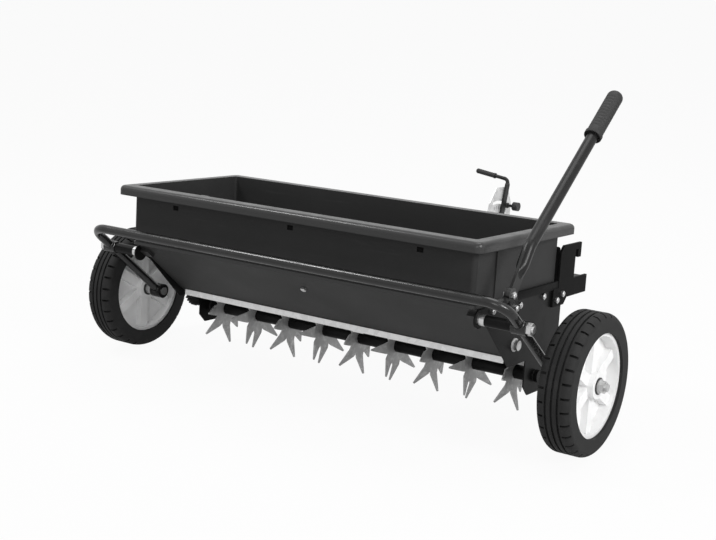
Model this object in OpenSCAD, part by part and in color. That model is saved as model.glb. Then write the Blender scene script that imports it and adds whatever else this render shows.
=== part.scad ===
// Tow behind spike aerator with a drop spreader hopper.
// Millimetres. X runs along the axle, Y runs forward to the tractor, Z is up.
// The machine is drawn level and then set down on its two tyres and the nose of its hitch.

/* [Wheels] */
// Outside radius of a tyre
tyre_r = 152.4; // [145:0.1:160]
// Width of a tyre
tyre_w = 74; // [66:1:80]
// Rounding of a tyre's shoulders
tyre_shoulder_r = 15; // [8:0.5:18]
// Depth of the tread
tread_depth = 4.5; // [2:0.5:6]
// Width of the grooves round the tread
groove_w = 5; // [3:0.5:7]
// Notches round each shoulder
tread_notches = 32; // [20:1:40]
// From the middle of the machine to the middle of a tyre
track_half = 635; // [630:1:645]
// The wheel's moulded rim, as a share of the tyre's radius
hub_share = 0.735; // [0.7:0.005:0.76]
// Width of the moulded rim
rim_w = 60; // [50:1:64]
// Thickness of the rim and of the wheel's disc
hub_wall = 8; // [5:0.5:10]
// Radius of the boss round the axle
hub_boss_r = 28; // [24:1:34]
// Width of the boss
hub_boss_w = 66; // [60:1:68]
// Ribs on each face of the wheel
hub_ribs = 6; // [5:1:8]
// Width of a rib
hub_rib_w = 24; // [12:1:28]
// How far the ribs stand from the disc
hub_rib_h = 16; // [8:1:20]
// Diameter of the axle's journal
axle_d = 20; // [18:0.5:22]
// Diameter of the axle's threaded end
axle_thread_d = 16; // [12:0.5:17]
// Length of the axle's threaded end
axle_thread_len = 19; // [17:0.5:24]
// Wall of the wheel's flanged bushes
bush_wall = 4; // [3:0.5:5]
// Length of a wheel bush
bush_len = 26; // [18:1:30]
// Thickness of a bush's flange
bush_flange_t = 2; // [1.5:0.5:3]

/* [Hopper] */
// From the middle of a tyre to the hopper's end wall
end_inset = 167; // [160:1:175]
// Rear face of the hopper's upper box
hop_rear_y = -198.5; // [-204:0.5:-194]
// Front face of the hopper's upper box
hop_front_y = 173.5; // [168:0.5:178]
// Height of the belt where the box meets the funnel
belt_z = 312; // [308:1:318]
// Height of the hopper's rim
rim_z = 450; // [430:1:470]
// Thickness of the moulding
hop_wall = 3.5; // [3:0.5:5]
// Rounding of the box's upright corners
hop_corner_r = 10; // [8:1:20]
// Overhang of the rim at the ends
rim_end_over = 26; // [20:1:30]
// Overhang of the rim at the front and back
rim_side_over = 32.5; // [24:0.5:36]
// Height of the rim's skirt
rim_skirt_h = 22; // [16:1:28]
// Radius of the rolled edge
rim_roll_r = 10; // [6:0.5:13]
// Rounding of the rim's corners
rim_corner_r = 18; // [15:1:34]
// Height of the belt's bead
bead_h = 7; // [4:0.5:10]
// How far the bead stands out
bead_out = 3; // [2:0.5:5]
// Step in from the box to the funnel
funnel_step = 6.5; // [4:0.5:9]
// Height of the hopper's outlet
foot_z = 176; // [174:0.5:180]
// Rear edge of the funnel's outlet
outlet_rear_y = -20; // [-22:0.5:-18]
// Front edge of the funnel's outlet
outlet_front_y = 5; // [3:0.5:7]
// Front edge of the foot that the outlet plate seats on
foot_front_y = 38; // [30:0.5:39]
// Distance of the windows in the rear wall from the middle, as a share of the hopper's half length
window_share = 0.718; // [0.65:0.001:0.8]
// Width of a window in the rear wall
window_w = 16; // [10:1:20]
// Height of a window in the rear wall
window_h = 11; // [8:1:14]
// Middle height of the windows
window_z = 411; // [404:1:416]
// Middle of the groove in each end wall
end_groove_y = -121; // [-140:1:-105]
// Width of the groove in each end wall
end_groove_w = 22; // [14:1:26]
// Depth of the groove in each end wall
end_groove_depth = 2.2; // [1.2:0.1:2.3]
// Top of the groove in each end wall
end_groove_z = 417; // [390:1:420]

/* [Outlet and agitator] */
// From the hopper's end wall to the end of the outlet plate
outlet_inset = 13; // [10:1:18]
// Thickness of the outlet plate and of the shutter
sheet_t = 2; // [1.5:0.1:2.5]
// Height of the outlet plate's rear flange
outlet_flange_h = 14; // [10:0.5:18]
// Outlet holes
outlet_holes = 14; // [10:2:16]
// Distance between the outlet holes, as a share of the hopper's half length
outlet_pitch_share = 0.1367; // [0.11:0.0001:0.137]
// Radius of a diamond shaped outlet hole
outlet_hole_r = 6; // [4:0.5:6]
// Depth of the shutter from back to front
shutter_depth = 36; // [34:0.5:37]
// Diameter of the screws that the shutter slides on
shutter_screw_d = 6; // [5:0.5:7]
// Diameter of the agitator's shaft
agitator_d = 14; // [12:0.5:16]
// Height of the agitator's shaft
agitator_z = 204; // [202:0.5:208]
// Reach of the agitator's fingers
agitator_reach = 20; // [16:0.5:21]
// Diameter of a finger
finger_d = 7; // [5:0.5:9]

/* [Spikes] */
// Forward distance of the spike shaft
spike_y = 105; // [103:0.5:108]
// Height of the spike shaft
spike_z = 115; // [112:0.5:117]
// Diameter of the spike shaft
spike_shaft_d = 20; // [18:0.5:22]
// Distance between the stars, as a share of the hopper's half length
star_pitch_share = 0.2254; // [0.215:0.0001:0.23]
// Radius at the tips of a star
star_r = 88; // [82:0.5:89]
// Points of a star
star_points = 8; // [6:1:10]
// Thickness of a star
star_t = 3.5; // [2.5:0.5:5]
// Radius where the points are bent
star_bend_r = 48; // [42:1:54]
// Half width of a point where it is bent
star_point_w = 13; // [10:0.5:16]
// Angle of the bend
star_bend = 20; // [10:1:26]
// Diameter of the spacer tubes between the stars
spacer_d = 32; // [28:1:36]

/* [Side plates] */
// Thickness of a side plate
plate_t = 3; // [2.5:0.5:4]
// Top of the side plates
plate_top_z = 306; // [300:1:308]
// Front edge of the side plates
plate_front_y = 205; // [200:1:210]
// Bottom of the front edge
plate_front_z = 150; // [140:1:160]
// Half width of the tab that carries the spike shaft
hanger_half = 53; // [48:1:60]
// Depth of that tab under the spike shaft
hanger_drop = 39; // [34:1:44]
// Corner cut of that tab
hanger_corner = 22; // [14:1:28]
// Radius of the ear round the pivot
ear_r = 20; // [18:0.5:24]

/* [Wheel frame] */
// Diameter of the bail's tube
bail_d = 21.3; // [19:0.1:24]
// Wall of the bail's tube
bail_wall = 2; // [1.5:0.1:3]
// Rear bar of the bail
bail_y = -245; // [-250:1:-243]
// Height of the rear bar
bail_z = 341; // [337:1:345]
// Bend radius of the bail's corners
bail_bend_r = 48; // [40:1:56]
// From the middle of a tyre to a leg of the bail
leg_inset = 70; // [67:1:74]
// From the rear bar to the pivot along a leg
pivot_dist = 92.6; // [90:0.1:95]
// Radius of the leg's pivot boss
pivot_boss_r = 15; // [14:0.5:17]
// Radius of the leg's axle boss
axle_boss_r = 18; // [16:0.5:20]
// Width of both bosses
boss_w = 32; // [30:1:33]
// Diameter of the pivot studs
stud_d = 14; // [12:0.5:15]
// Diameter of the sleeves on the pivot studs
sleeve_d = 24; // [20:1:28]

/* [Lift lever] */
// Diameter of the lever's tube
lever_d = 25.4; // [23:0.1:27]
// Wall of the lever's tube
lever_wall = 2; // [1.5:0.1:3]
// Thickness of the lever's paddle
paddle_t = 6; // [5:0.5:6.5]
// Thickness of the gusset on the right leg
gusset_t = 7; // [6:0.5:8]
// Slope of the lever under its bend
lever_low_deg = 57; // [53:1:62]
// Slope of the lever above its bend
lever_high_deg = 39.9; // [36:0.1:44]
// From the paddle to the bend
lever_low_len = 123; // [115:1:130]
// From the bend to the top of the grip
lever_high_len = 467; // [440:1:490]
// Bend radius of the lever
lever_bend_r = 60; // [50:1:80]
// Diameter of the grip
grip_d = 36; // [33:0.5:40]
// Length of the grip
grip_len = 140; // [120:1:150]

/* [Tow frame] */
// Thickness of a tow bracket
bracket_t = 6; // [5:0.5:7]
// Side of the crossbar's and the tongue's square tube
tube_w = 38; // [36:0.5:40]
// Wall of the square tube
tube_wall = 3; // [2:0.5:4]
// Forward distance of the crossbar
cross_y = 294; // [290:1:298]
// Height of the crossbar
cross_z = 298; // [296:1:300]
// Top of a tow bracket
bracket_top_z = 400; // [392:1:406]
// Front edge of a bracket's web
bracket_web_y = 249; // [240:1:254]
// Front of a bracket's hooked upper arm
bracket_hook_y = 277; // [270:1:284]
// Depth of the hook from the bracket's top
bracket_hook_h = 34; // [26:1:38]
// Thickness of the upper arm
bracket_arm_h = 15; // [11:1:18]
// Top of a bracket's lower arm over the crossbar's middle
bracket_mouth_h = 22; // [20:1:26]
// Length of the tongue
tongue_len = 806; // [780:1:830]
// Fall of the tongue
tongue_deg = 10.35; // [9.8:0.05:10.8]
// Thickness of a hitch strap
strap_t = 6; // [5:0.5:8]
// Width of a hitch strap
strap_w = 50; // [44:1:56]
// Overlap of a strap on the tongue
strap_lap = 105; // [95:1:120]
// From the end of the tongue to the hitch pin's hole
hitch_reach = 22; // [20:0.5:28]
// Diameter of the hitch pin's hole
hitch_d = 16.5; // [13:0.5:20]

/* [Flow control] */
// Forward distance of the flow lever's pivot
flow_y = 707; // [690:1:720]
// Height of that pivot over the middle of the tongue
flow_rise = 47.8; // [44:0.1:52]
// Thickness of the quadrant plate
quadrant_t = 3; // [2.5:0.5:4]
// Radius of the slot in the quadrant plate
slot_r = 128; // [122:1:134]
// Thickness of the flow lever
flow_t = 6; // [5:0.5:7]
// Length of the lever's lower arm
flow_arm = 27; // [25:0.1:28]
// Swing of the lower arm to each side of upright
flow_half_swing = 18.35; // [16:0.05:18.5]
// Forward lean of the lever's stem
flow_lean = 14; // [10:1:15]
// Length of the stem from the pivot to the bend
flow_stem = 196; // [188:1:205]
// Length of the bent handle
flow_handle = 84; // [76:1:92]
// Rise of the bent handle
flow_handle_deg = 8; // [4:1:14]
// Diameter of the handle's rod
flow_rod_d = 10; // [8:0.5:11]
// Diameter of the control rod
control_d = 8; // [7:0.5:9]
// Sideways distance of the control rod
control_x = 51; // [49:0.5:53]

/* [Drive gears] */
// Gear module
gear_m = 3; // [2.9:0.05:3.1]
// Teeth of the spike shaft's gear and of the agitator's gear
gear_z = 20; // [20:1:20]
// Teeth of the idler gear
idler_z = 28; // [28:1:28]
// Width of the gears
gear_w = 10; // [8:0.5:11]
// Pressure angle
pressure_deg = 20; // [20:1:20]
// Play between the teeth on the pitch circle
gear_play = 0.5; // [0.3:0.05:0.7]
// Diameter of the idler's pin
idler_pin_d = 12; // [10:0.5:14]

/* [Fasteners and fits] */
// Diameter of the common bolts
bolt_d = 8; // [7:0.5:9]
// Width over the corners of the common bolts' heads
bolt_head_d = 15; // [13:0.5:16]
// Height of the common bolts' heads and nuts
bolt_head_h = 5; // [4:0.5:5.5]
// Width over the corners of the pivot and axle nuts
big_nut_d = 27; // [25:0.5:29]
// Height of the pivot and axle nuts
big_nut_h = 11; // [9:0.5:13]
// Radial clearance of a shaft in its bore
fit = 0.05; // [0.02:0.01:0.09]
// Space between faces that move past each other
play = 0.3; // [0.25:0.05:0.5]
// Sideways space between the gears, the plates and the sleeves
side_gap = 3; // [2.5:0.1:3.5]

/* [Hidden] */
$fn = 64;
// Overrun of every cut
over = 1;
paint_black = [0.10, 0.10, 0.11];
mould_black = [0.14, 0.14, 0.15];
rubber_black = [0.07, 0.07, 0.07];
zinc = [0.78, 0.79, 0.80];
galvanised = [0.62, 0.64, 0.65];
nylon_white = [0.92, 0.92, 0.90];

// Sideways stations, from the tyres inwards and from the middle outwards
hub_r = hub_share * tyre_r;
leg_x = track_half - leg_inset;
hop_x = track_half - end_inset;
outlet_x = hop_x - outlet_inset;
outlet_pitch = outlet_pitch_share * hop_x;
star_pitch = star_pitch_share * hop_x;
window_x = window_share * hop_x;
plate_x = hop_x + plate_t;
gear_x = plate_x + side_gap;
gear_end_x = gear_x + gear_w;
sleeve_x = gear_end_x + side_gap;
boss_x = leg_x - boss_w / 2;
boss_end_x = leg_x + boss_w / 2;
wheel_in_x = track_half - hub_boss_w / 2 - bush_flange_t;
wheel_out_x = track_half + hub_boss_w / 2 + bush_flange_t;
shoulder_x = wheel_out_x + play;
axle_end_x = shoulder_x + axle_thread_len;
bracket_x = plate_x + bracket_t;
axle_r = axle_d / 2;
stud_r = stud_d / 2;
collar_share = 0.6;
collar_h = collar_share * bolt_head_d;
spike_shaft_r = spike_shaft_d / 2;
agitator_r = agitator_d / 2;
bolt_r = bolt_d / 2;
hitch_r = hitch_d / 2;
tube_half = tube_w / 2;
sleeve_r = sleeve_d / 2;

// Shares of the tread's flat, of a star's bend radius and of its half width
notch_share = 0.85;
groove_share = 0.6;
valley_share = 0.82;
tip_share = 0.13;

// The bail, in the plane of its legs
axle_z = tyre_r;
leg_len = sqrt(bail_y * bail_y + (bail_z - axle_z) * (bail_z - axle_z));
leg_deg = atan2(axle_z - bail_z, -bail_y);
pivot_y = bail_y + pivot_dist * cos(leg_deg);
pivot_z = bail_z + pivot_dist * sin(leg_deg);

// The funnel's two panels
funnel_drop = belt_z - foot_z;
rear_run = outlet_rear_y - hop_rear_y - funnel_step;
front_run = hop_front_y - funnel_step - outlet_front_y;
rear_t = hop_wall * sqrt(rear_run * rear_run + funnel_drop * funnel_drop) / funnel_drop;
front_t = hop_wall * sqrt(front_run * front_run + funnel_drop * funnel_drop) / funnel_drop;
function rear_at(z) = outlet_rear_y - (z - foot_z) * rear_run / funnel_drop;
function front_at(z) = outlet_front_y + (z - foot_z) * front_run / funnel_drop;
rear_deg = atan2(funnel_drop, rear_run);
throat_y = (outlet_rear_y + rear_t + outlet_front_y - front_t) / 2;
agitator_y = throat_y;

// The outlet plate and its shutter
outlet_z = foot_z - sheet_t;
shutter_z = outlet_z - play - sheet_t;
shutter_rear_y = outlet_rear_y + sheet_t;
screw_y = outlet_front_y + shutter_screw_d / 2;
screw_xs = [for (i = [-3, -1, 1, 3]) i * 2 * outlet_pitch];
tab_shares = [15, 11];
tab_w = tab_shares[0] * sheet_t;
tab_drop = tab_shares[1] * sheet_t;
shutter_travel = 2 * flow_arm * sin(flow_half_swing);
tab_front_y = shutter_rear_y + shutter_depth;
rod_z = shutter_z - tab_drop / 2;
screw_head_share = 1.5;
screw_head_h = screw_head_share * sheet_t;
screw_head_r = shutter_screw_d;
screw_deep = 2 * sheet_t;

// Bolts of the hopper, as shares of its depth and of the funnel's height
lip_share = -0.566;
panel_bolt_share = 0.67;
panel_bolt_z = foot_z + panel_bolt_share * funnel_drop;
side_bolt_shares = [[-0.69, 0.87], [0, 0.84], [0.63, 0.87]];
side_bolt_at = [for (p = side_bolt_shares) [p[0] * hop_front_y, foot_z + p[1] * funnel_drop]];
bracket_edge_share = 1.5;
bracket_bolt_at = [[hop_front_y - bolt_d, cross_z - tube_half],
                   [plate_front_y - bracket_edge_share * bolt_d, cross_z - bolt_d]];
pad_share = 0.82;
pad_z = foot_z + pad_share * funnel_drop;
pad_w_share = 2.5;
pad_w = pad_w_share * rim_roll_r;

// The tongue and its hitch
tongue_y = cross_y + tube_half;
strap_len = strap_lap + hitch_reach + strap_w / 2;
strap_start = tongue_len - strap_lap;
hitch_at = tongue_len + hitch_reach;
nose_at = hitch_at + strap_w / 2;
hitch_bolt_shares = [0.74, 0.27];
hitch_bolt_at = [for (p = hitch_bolt_shares) tongue_len - p * strap_lap];
tongue_gusset_shares = [1.9, 2.4];
gusset_w = tongue_gusset_shares[0] * tube_w;
gusset_len = tongue_gusset_shares[1] * tube_w;
function along_y(d, h) = tongue_y + d * cos(tongue_deg) + h * sin(tongue_deg);
function along_z(d, h) = cross_z - d * sin(tongue_deg) + h * cos(tongue_deg);

// Set down: the nose of the lower strap comes to the floor with the tyres
nose_h = -tube_half - strap_t;
nose_y = along_y(nose_at, nose_h);
nose_z = along_z(nose_at, nose_h) - axle_z;
nose_down = asin(-axle_z / sqrt(nose_y * nose_y + nose_z * nose_z)) - atan2(nose_z, nose_y);
function down_y(y, z) = y * cos(nose_down) - (z - axle_z) * sin(nose_down);
front_end = down_y(along_y(nose_at, -nose_h), along_z(nose_at, -nose_h));
rear_end = down_y(bail_y, bail_z) - bail_d / 2;
mid_y = (front_end + rear_end) / 2;

// The flow control, about the lever's pivot
flow_mid_z = cross_z - (flow_y - tongue_y) * tan(tongue_deg);
flow_z = flow_mid_z + flow_rise;
flow_x = tube_half + quadrant_t + play;
rod_pin_y = flow_y - flow_arm * sin(flow_half_swing);
rod_pin_z = flow_z - flow_arm * cos(flow_half_swing);
rod_from_y = tab_front_y + collar_h / 2;
rod_run = rod_pin_y - rod_from_y;
rod_deg = atan2(rod_pin_z - rod_z, rod_run);
rod_len = sqrt(rod_run * rod_run + (rod_pin_z - rod_z) * (rod_pin_z - rod_z));
rod_bend_share = 1.25;
rod_bend_r = rod_bend_share * control_d;
rod_collar_share = 0.9;
stop_deg = 64.7;
slot_from_deg = 62;
slot_to_deg = 100;
slot_half = bolt_r + play;
// The flow lever's widths as shares of its thickness or of its rod
flow_arm_share = 3;
flow_arm_w = flow_arm_share * flow_t;
flow_boss_share = 0.7;
flow_bend_share = 1.4;
flow_bend_r = flow_bend_share * flow_rod_d;
flow_lap_share = 0.4;
flow_flat = flow_stem - flow_bend_r - flow_lap_share * flow_rod_d;
flow_grip_share = 0.65;
flow_grip_len = flow_grip_share * flow_handle;
flow_grip_r_share = 0.85;
knob_shares = [1.5, 0.8];
quadrant_shares = [[-0.53, 0], [0.5, -0.19], [0.625, 1.3], [0.42, 1.69],
                   [-0.08, 1.69], [-0.34, 1.375], [-0.53, 0.36]];
quadrant_bolt_shares = [-0.375, 0.344];
quadrant_bolt_at = [for (p = quadrant_bolt_shares) [p * slot_r, -p * slot_r * tan(tongue_deg)]];

// The gears
root_share = 1.25;
gear_r = gear_m * gear_z / 2;
idler_r = gear_m * idler_z / 2;
gear_dist = gear_r + idler_r;
train_y = agitator_y - spike_y;
train_z = agitator_z - spike_z;
train_len = sqrt(train_y * train_y + train_z * train_z);
train_deg = atan2(train_z, train_y);
idler_off = acos(train_len / 2 / gear_dist);
first_deg = train_deg - idler_off;
idler_y = spike_y + gear_dist * cos(first_deg);
idler_z_at = spike_z + gear_dist * sin(first_deg);
second_deg = train_deg + idler_off;
idler_phase = first_deg + 180 + 180 / idler_z;
idler_pitch_deg = 360 / idler_z;
mesh_deg = idler_phase - second_deg;
lead_deg = mesh_deg - idler_pitch_deg * round(mesh_deg / idler_pitch_deg);
agitator_phase = second_deg + 180 - lead_deg * idler_z / gear_z + 180 / gear_z;
idler_pin_r = idler_pin_d / 2;

// The lift lever and its gusset
gusset_end_x = boss_x + gusset_t;
lever_x = boss_x - paddle_t / 2;
lever_shares = [-0.22, 0.578];
lever_y = pivot_y + lever_shares[0] * pivot_dist;
lever_z = pivot_z + lever_shares[1] * pivot_dist;
lever_turn = lever_low_deg - lever_high_deg;
lever_tangent = lever_bend_r * tan(lever_turn / 2);
lever_bolt_deg = 118;
lever_bolt_share = 0.173;
lever_bolt_half = lever_bolt_share * pivot_dist;
lever_bolt_at = [for (i = [-1, 1]) [lever_y + i * lever_bolt_half * cos(lever_bolt_deg),
                                    lever_z + i * lever_bolt_half * sin(lever_bolt_deg)]];
paddle_w = 2 * bolt_head_d;
lever_up_share = 0.7;
lever_up = lever_up_share * lever_low_len;
lever_top_len = lever_high_len - grip_d / 2 - lever_tangent;
gusset_shares = [[0, 0], [0.05, 0.36], [-0.2, 0.68], [-0.56, 0.43]];
// Turn at each end of a bend that its pressed ring covers
knuckle_deg = 0.5;

// Moves what is drawn level to where it stands
module set_down() {
  translate([0, -mid_y, axle_z]) rotate([nose_down, 0, 0]) translate([0, 0, -axle_z]) children();
}

// Draws a flat shape in the Y-Z plane and gives it a thickness along X
module slab(x0, x1) {
  translate([x0, 0, 0]) rotate([90, 0, 90]) linear_extrude(x1 - x0) children();
}

// A round bar along X
module bar(y, z, r, x0, x1) {
  translate([x0, y, z]) rotate([0, 90, 0]) cylinder(r = r, h = x1 - x0);
}

// A hexagon along X
module hex(y, z, d, x0, x1) {
  translate([x0, y, z]) rotate([0, 90, 0]) cylinder(d = d, h = x1 - x0, $fn = 6);
}

// A ring along X
module ring(y, z, r_out, r_in, x0, x1) {
  difference() {
    bar(y, z, r_out, x0, x1);
    bar(y, z, r_in, x0 - over, x1 + over);
  }
}

// A nut along X
module nut(y, z, d, r_in, x0, x1) {
  difference() {
    hex(y, z, d, x0, x1);
    bar(y, z, r_in + fit, x0 - over, x1 + over);
  }
}

// A bolt along X with its head outside and its nut inside
module bolt(y, z, nut_x, head_x) {
  union() {
    hex(y, z, bolt_head_d, head_x, head_x + bolt_head_h);
    bar(y, z, bolt_r, nut_x - bolt_head_h - over, head_x + bolt_head_h / 2);
  }
  nut(y, z, bolt_head_d, bolt_r, nut_x - bolt_head_h, nut_x);
}

// The same on both ends of the machine
module both_ends() {
  children();
  mirror([1, 0, 0]) children();
}

// Follows the tongue: Y along it, Z over its middle line
module on_tongue() {
  translate([0, tongue_y, cross_z]) rotate([-tongue_deg, 0, 0]) children();
}

// A rectangle with rounded corners
module round_rect(half_x, y0, y1, r) {
  translate([-half_x, y0 + r]) square([2 * half_x, y1 - y0 - 2 * r]);
  translate([r - half_x, y0]) square([2 * (half_x - r), y1 - y0]);
  for (x = [r - half_x, half_x - r], y = [y0 + r, y1 - r]) {
    translate([x, y]) circle(r);
  }
}

// A flat bar with two round ends, from the origin along the first axis
module link(len, w) {
  translate([0, -w / 2]) square([len, w]);
  circle(w / 2);
  translate([len, 0]) circle(w / 2);
}

// The rim's rolled edge and its skirt, from the centre of a corner outwards
module rim_profile() {
  roll_at = rim_corner_r - rim_roll_r;
  translate([roll_at, rim_z - rim_roll_r]) intersection() {
    difference() {
      circle(rim_roll_r);
      circle(rim_roll_r - hop_wall);
    }
    square(rim_roll_r);
  }
  translate([rim_corner_r - hop_wall, rim_z - rim_skirt_h]) {
    square([hop_wall, rim_skirt_h - rim_roll_r]);
  }
}

module hopper_rim() {
  rim_x = hop_x + rim_end_over;
  rim_rear = hop_rear_y - rim_side_over;
  rim_front = hop_front_y + rim_side_over;
  corner_x = rim_x - rim_corner_r;
  side_len = rim_front - rim_rear - 2 * rim_corner_r;
  for (x = [-1, 1]) {
    translate([x * corner_x, rim_front - rim_corner_r, 0]) {
      rotate([0, 0, x > 0 ? 0 : 90]) rotate_extrude(angle = 90) rim_profile();
    }
    translate([x * corner_x, rim_rear + rim_corner_r, 0]) {
      rotate([0, 0, x > 0 ? 270 : 180]) rotate_extrude(angle = 90) rim_profile();
    }
  }
  both_ends() translate([corner_x, rim_front - rim_corner_r, 0]) {
    rotate([90, 0, 0]) linear_extrude(side_len) rim_profile();
  }
  translate([-corner_x, rim_front - rim_corner_r, 0]) {
    rotate([90, 0, 90]) linear_extrude(2 * corner_x) rim_profile();
  }
  translate([corner_x, rim_rear + rim_corner_r, 0]) {
    rotate([90, 0, 270]) linear_extrude(2 * corner_x) rim_profile();
  }
  translate([0, 0, rim_z - hop_wall]) linear_extrude(hop_wall) {
    flat = rim_roll_r;
    round_rect(rim_x - flat, rim_rear + flat, rim_front - flat, rim_corner_r - flat);
  }
}

// The sloping inside of the funnel
module funnel_inside() {
  low = foot_z - sheet_t;
  high = belt_z + bead_h + over;
  slab(hop_wall - hop_x, hop_x - hop_wall) {
    polygon([[rear_at(low) + rear_t, low], [front_at(low) - front_t, low],
             [front_at(belt_z) - front_t, belt_z], [front_at(belt_z) - front_t, high],
             [rear_at(belt_z) + rear_t, high], [rear_at(belt_z) + rear_t, belt_z]]);
  }
}

module hopper() {
  lip_x = lip_share * hop_x;
  lip_w = rim_skirt_h;
  lip_d = hop_wall + bead_h;
  color(mould_black) set_down() difference() {
    union() {
      translate([0, 0, belt_z]) linear_extrude(rim_z - belt_z) {
        round_rect(hop_x, hop_rear_y, hop_front_y, hop_corner_r);
      }
      hopper_rim();
      translate([0, 0, belt_z - bead_h / 2]) linear_extrude(bead_h) {
        round_rect(hop_x + bead_out, hop_rear_y - bead_out, hop_front_y + bead_out,
                   hop_corner_r + bead_out);
      }
      slab(-hop_x, hop_x) {
        polygon([[rear_at(belt_z), belt_z], [rear_at(foot_z), foot_z],
                 [front_at(foot_z), foot_z], [front_at(belt_z), belt_z]]);
      }
      translate([-outlet_x, outlet_rear_y, foot_z]) {
        cube([2 * outlet_x, foot_front_y - outlet_rear_y, hop_wall]);
      }
    }
    difference() {
      translate([0, 0, belt_z + bead_h / 2]) linear_extrude(rim_z - belt_z) {
        round_rect(hop_x - hop_wall, hop_rear_y + hop_wall, hop_front_y - hop_wall,
                   hop_corner_r - hop_wall);
      }
      translate([lip_x, hop_rear_y, rim_z - hop_wall]) cube([lip_w, lip_d, hop_wall]);
    }
    funnel_inside();
    for (x = [-window_x, 0, window_x]) {
      translate([x - window_w / 2, hop_rear_y - over, window_z - window_h / 2]) {
        cube([window_w, hop_wall + 2 * over, window_h]);
      }
    }
    both_ends() {
      translate([hop_x - end_groove_depth, end_groove_y - end_groove_w / 2, belt_z + bead_h]) {
        cube([end_groove_depth + over, end_groove_w, end_groove_z - belt_z - bead_h]);
      }
      bar(agitator_y, agitator_z, agitator_r + bush_wall + fit, hop_x - hop_wall - over, hop_x + over);
      for (p = side_bolt_at) {
        bar(p[0], p[1], bolt_r + fit, hop_x - hop_wall - over, hop_x + over);
      }
    }
    for (x = screw_xs) {
      translate([x, screw_y, foot_z - over]) {
        cylinder(d = shutter_screw_d + 2 * fit, h = screw_deep + over + play);
      }
    }
    on_rear_panel(0, panel_bolt_z) {
      translate([0, 0, -rear_t - hop_wall]) cylinder(r = bolt_r + fit, h = rear_t + 2 * hop_wall);
    }
  }
}

// Stands on the funnel's rear panel: Z points out of it
module on_rear_panel(x, z) {
  translate([x, rear_at(z), z]) rotate([180 - rear_deg, 0, 0]) children();
}

module outlet_plate() {
  first_x = -outlet_pitch * (outlet_holes - 1) / 2;
  color(galvanised) set_down() difference() {
    union() {
      translate([-outlet_x, shutter_rear_y - 2 * sheet_t, outlet_z]) {
        cube([2 * outlet_x, foot_front_y - shutter_rear_y + 2 * sheet_t, sheet_t]);
      }
      translate([-outlet_x, outlet_rear_y - sheet_t, foot_z - outlet_flange_h]) {
        cube([2 * outlet_x, sheet_t, outlet_flange_h]);
      }
    }
    for (i = [0 : outlet_holes - 1]) {
      translate([first_x + i * outlet_pitch, throat_y, outlet_z - over]) {
        cylinder(r = outlet_hole_r, h = sheet_t + 2 * over, $fn = 4);
      }
    }
    for (x = screw_xs) {
      translate([x, screw_y, outlet_z - over]) {
        cylinder(d = shutter_screw_d + 2 * fit, h = sheet_t + 2 * over);
      }
    }
  }
}

module shutter_plate() {
  slot_w = shutter_screw_d + 2 * play;
  color(galvanised) set_down() difference() {
    union() {
      translate([play - outlet_x, shutter_rear_y, shutter_z]) {
        cube([2 * (outlet_x - play), shutter_depth, sheet_t]);
      }
      translate([control_x - tab_w / 2, tab_front_y - sheet_t, shutter_z - tab_drop]) {
        cube([tab_w, sheet_t, tab_drop + sheet_t]);
      }
    }
    for (x = screw_xs) {
      translate([x, screw_y, shutter_z - over]) linear_extrude(sheet_t + 2 * over) {
        rotate(270) link(shutter_travel, slot_w);
      }
    }
    translate([control_x, tab_front_y + over, rod_z]) {
      rotate([90, 0, 0]) cylinder(d = control_d + 2 * fit, h = sheet_t + 2 * over);
    }
  }
}

module shutter_screws() {
  color(zinc) set_down() for (x = screw_xs) {
    translate([x, screw_y, shutter_z - play]) {
      cylinder(d = shutter_screw_d, h = foot_z + screw_deep - shutter_z + play);
    }
    translate([x, screw_y, shutter_z - play - screw_head_h]) cylinder(r = screw_head_r, h = screw_head_h);
  }
}

module control_rod() {
  collar_r = rod_collar_share * control_d;
  color(zinc) set_down() translate([control_x, 0, 0]) {
    for (y = [tab_front_y + fit, tab_front_y - sheet_t - fit - collar_h]) {
      translate([0, y + collar_h, rod_z]) rotate([90, 0, 0]) cylinder(r = collar_r, h = collar_h);
    }
    translate([0, tab_front_y + collar_h, rod_z]) {
      rotate([90, 0, 0]) cylinder(d = control_d, h = sheet_t + 2 * collar_h + over);
    }
    translate([0, rod_from_y, rod_z]) rotate([rod_deg, 0, 0]) {
      straight = rod_len - rod_bend_r;
      rotate([-90, 0, 0]) cylinder(d = control_d, h = straight);
      translate([-rod_bend_r, straight, 0]) {
        rotate_extrude(angle = 90) translate([rod_bend_r, 0]) circle(d = control_d);
        translate([0, rod_bend_r, 0]) rotate([0, -90, 0]) {
          cylinder(d = control_d, h = control_x - rod_bend_r - flow_x);
        }
      }
    }
  }
}

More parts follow.
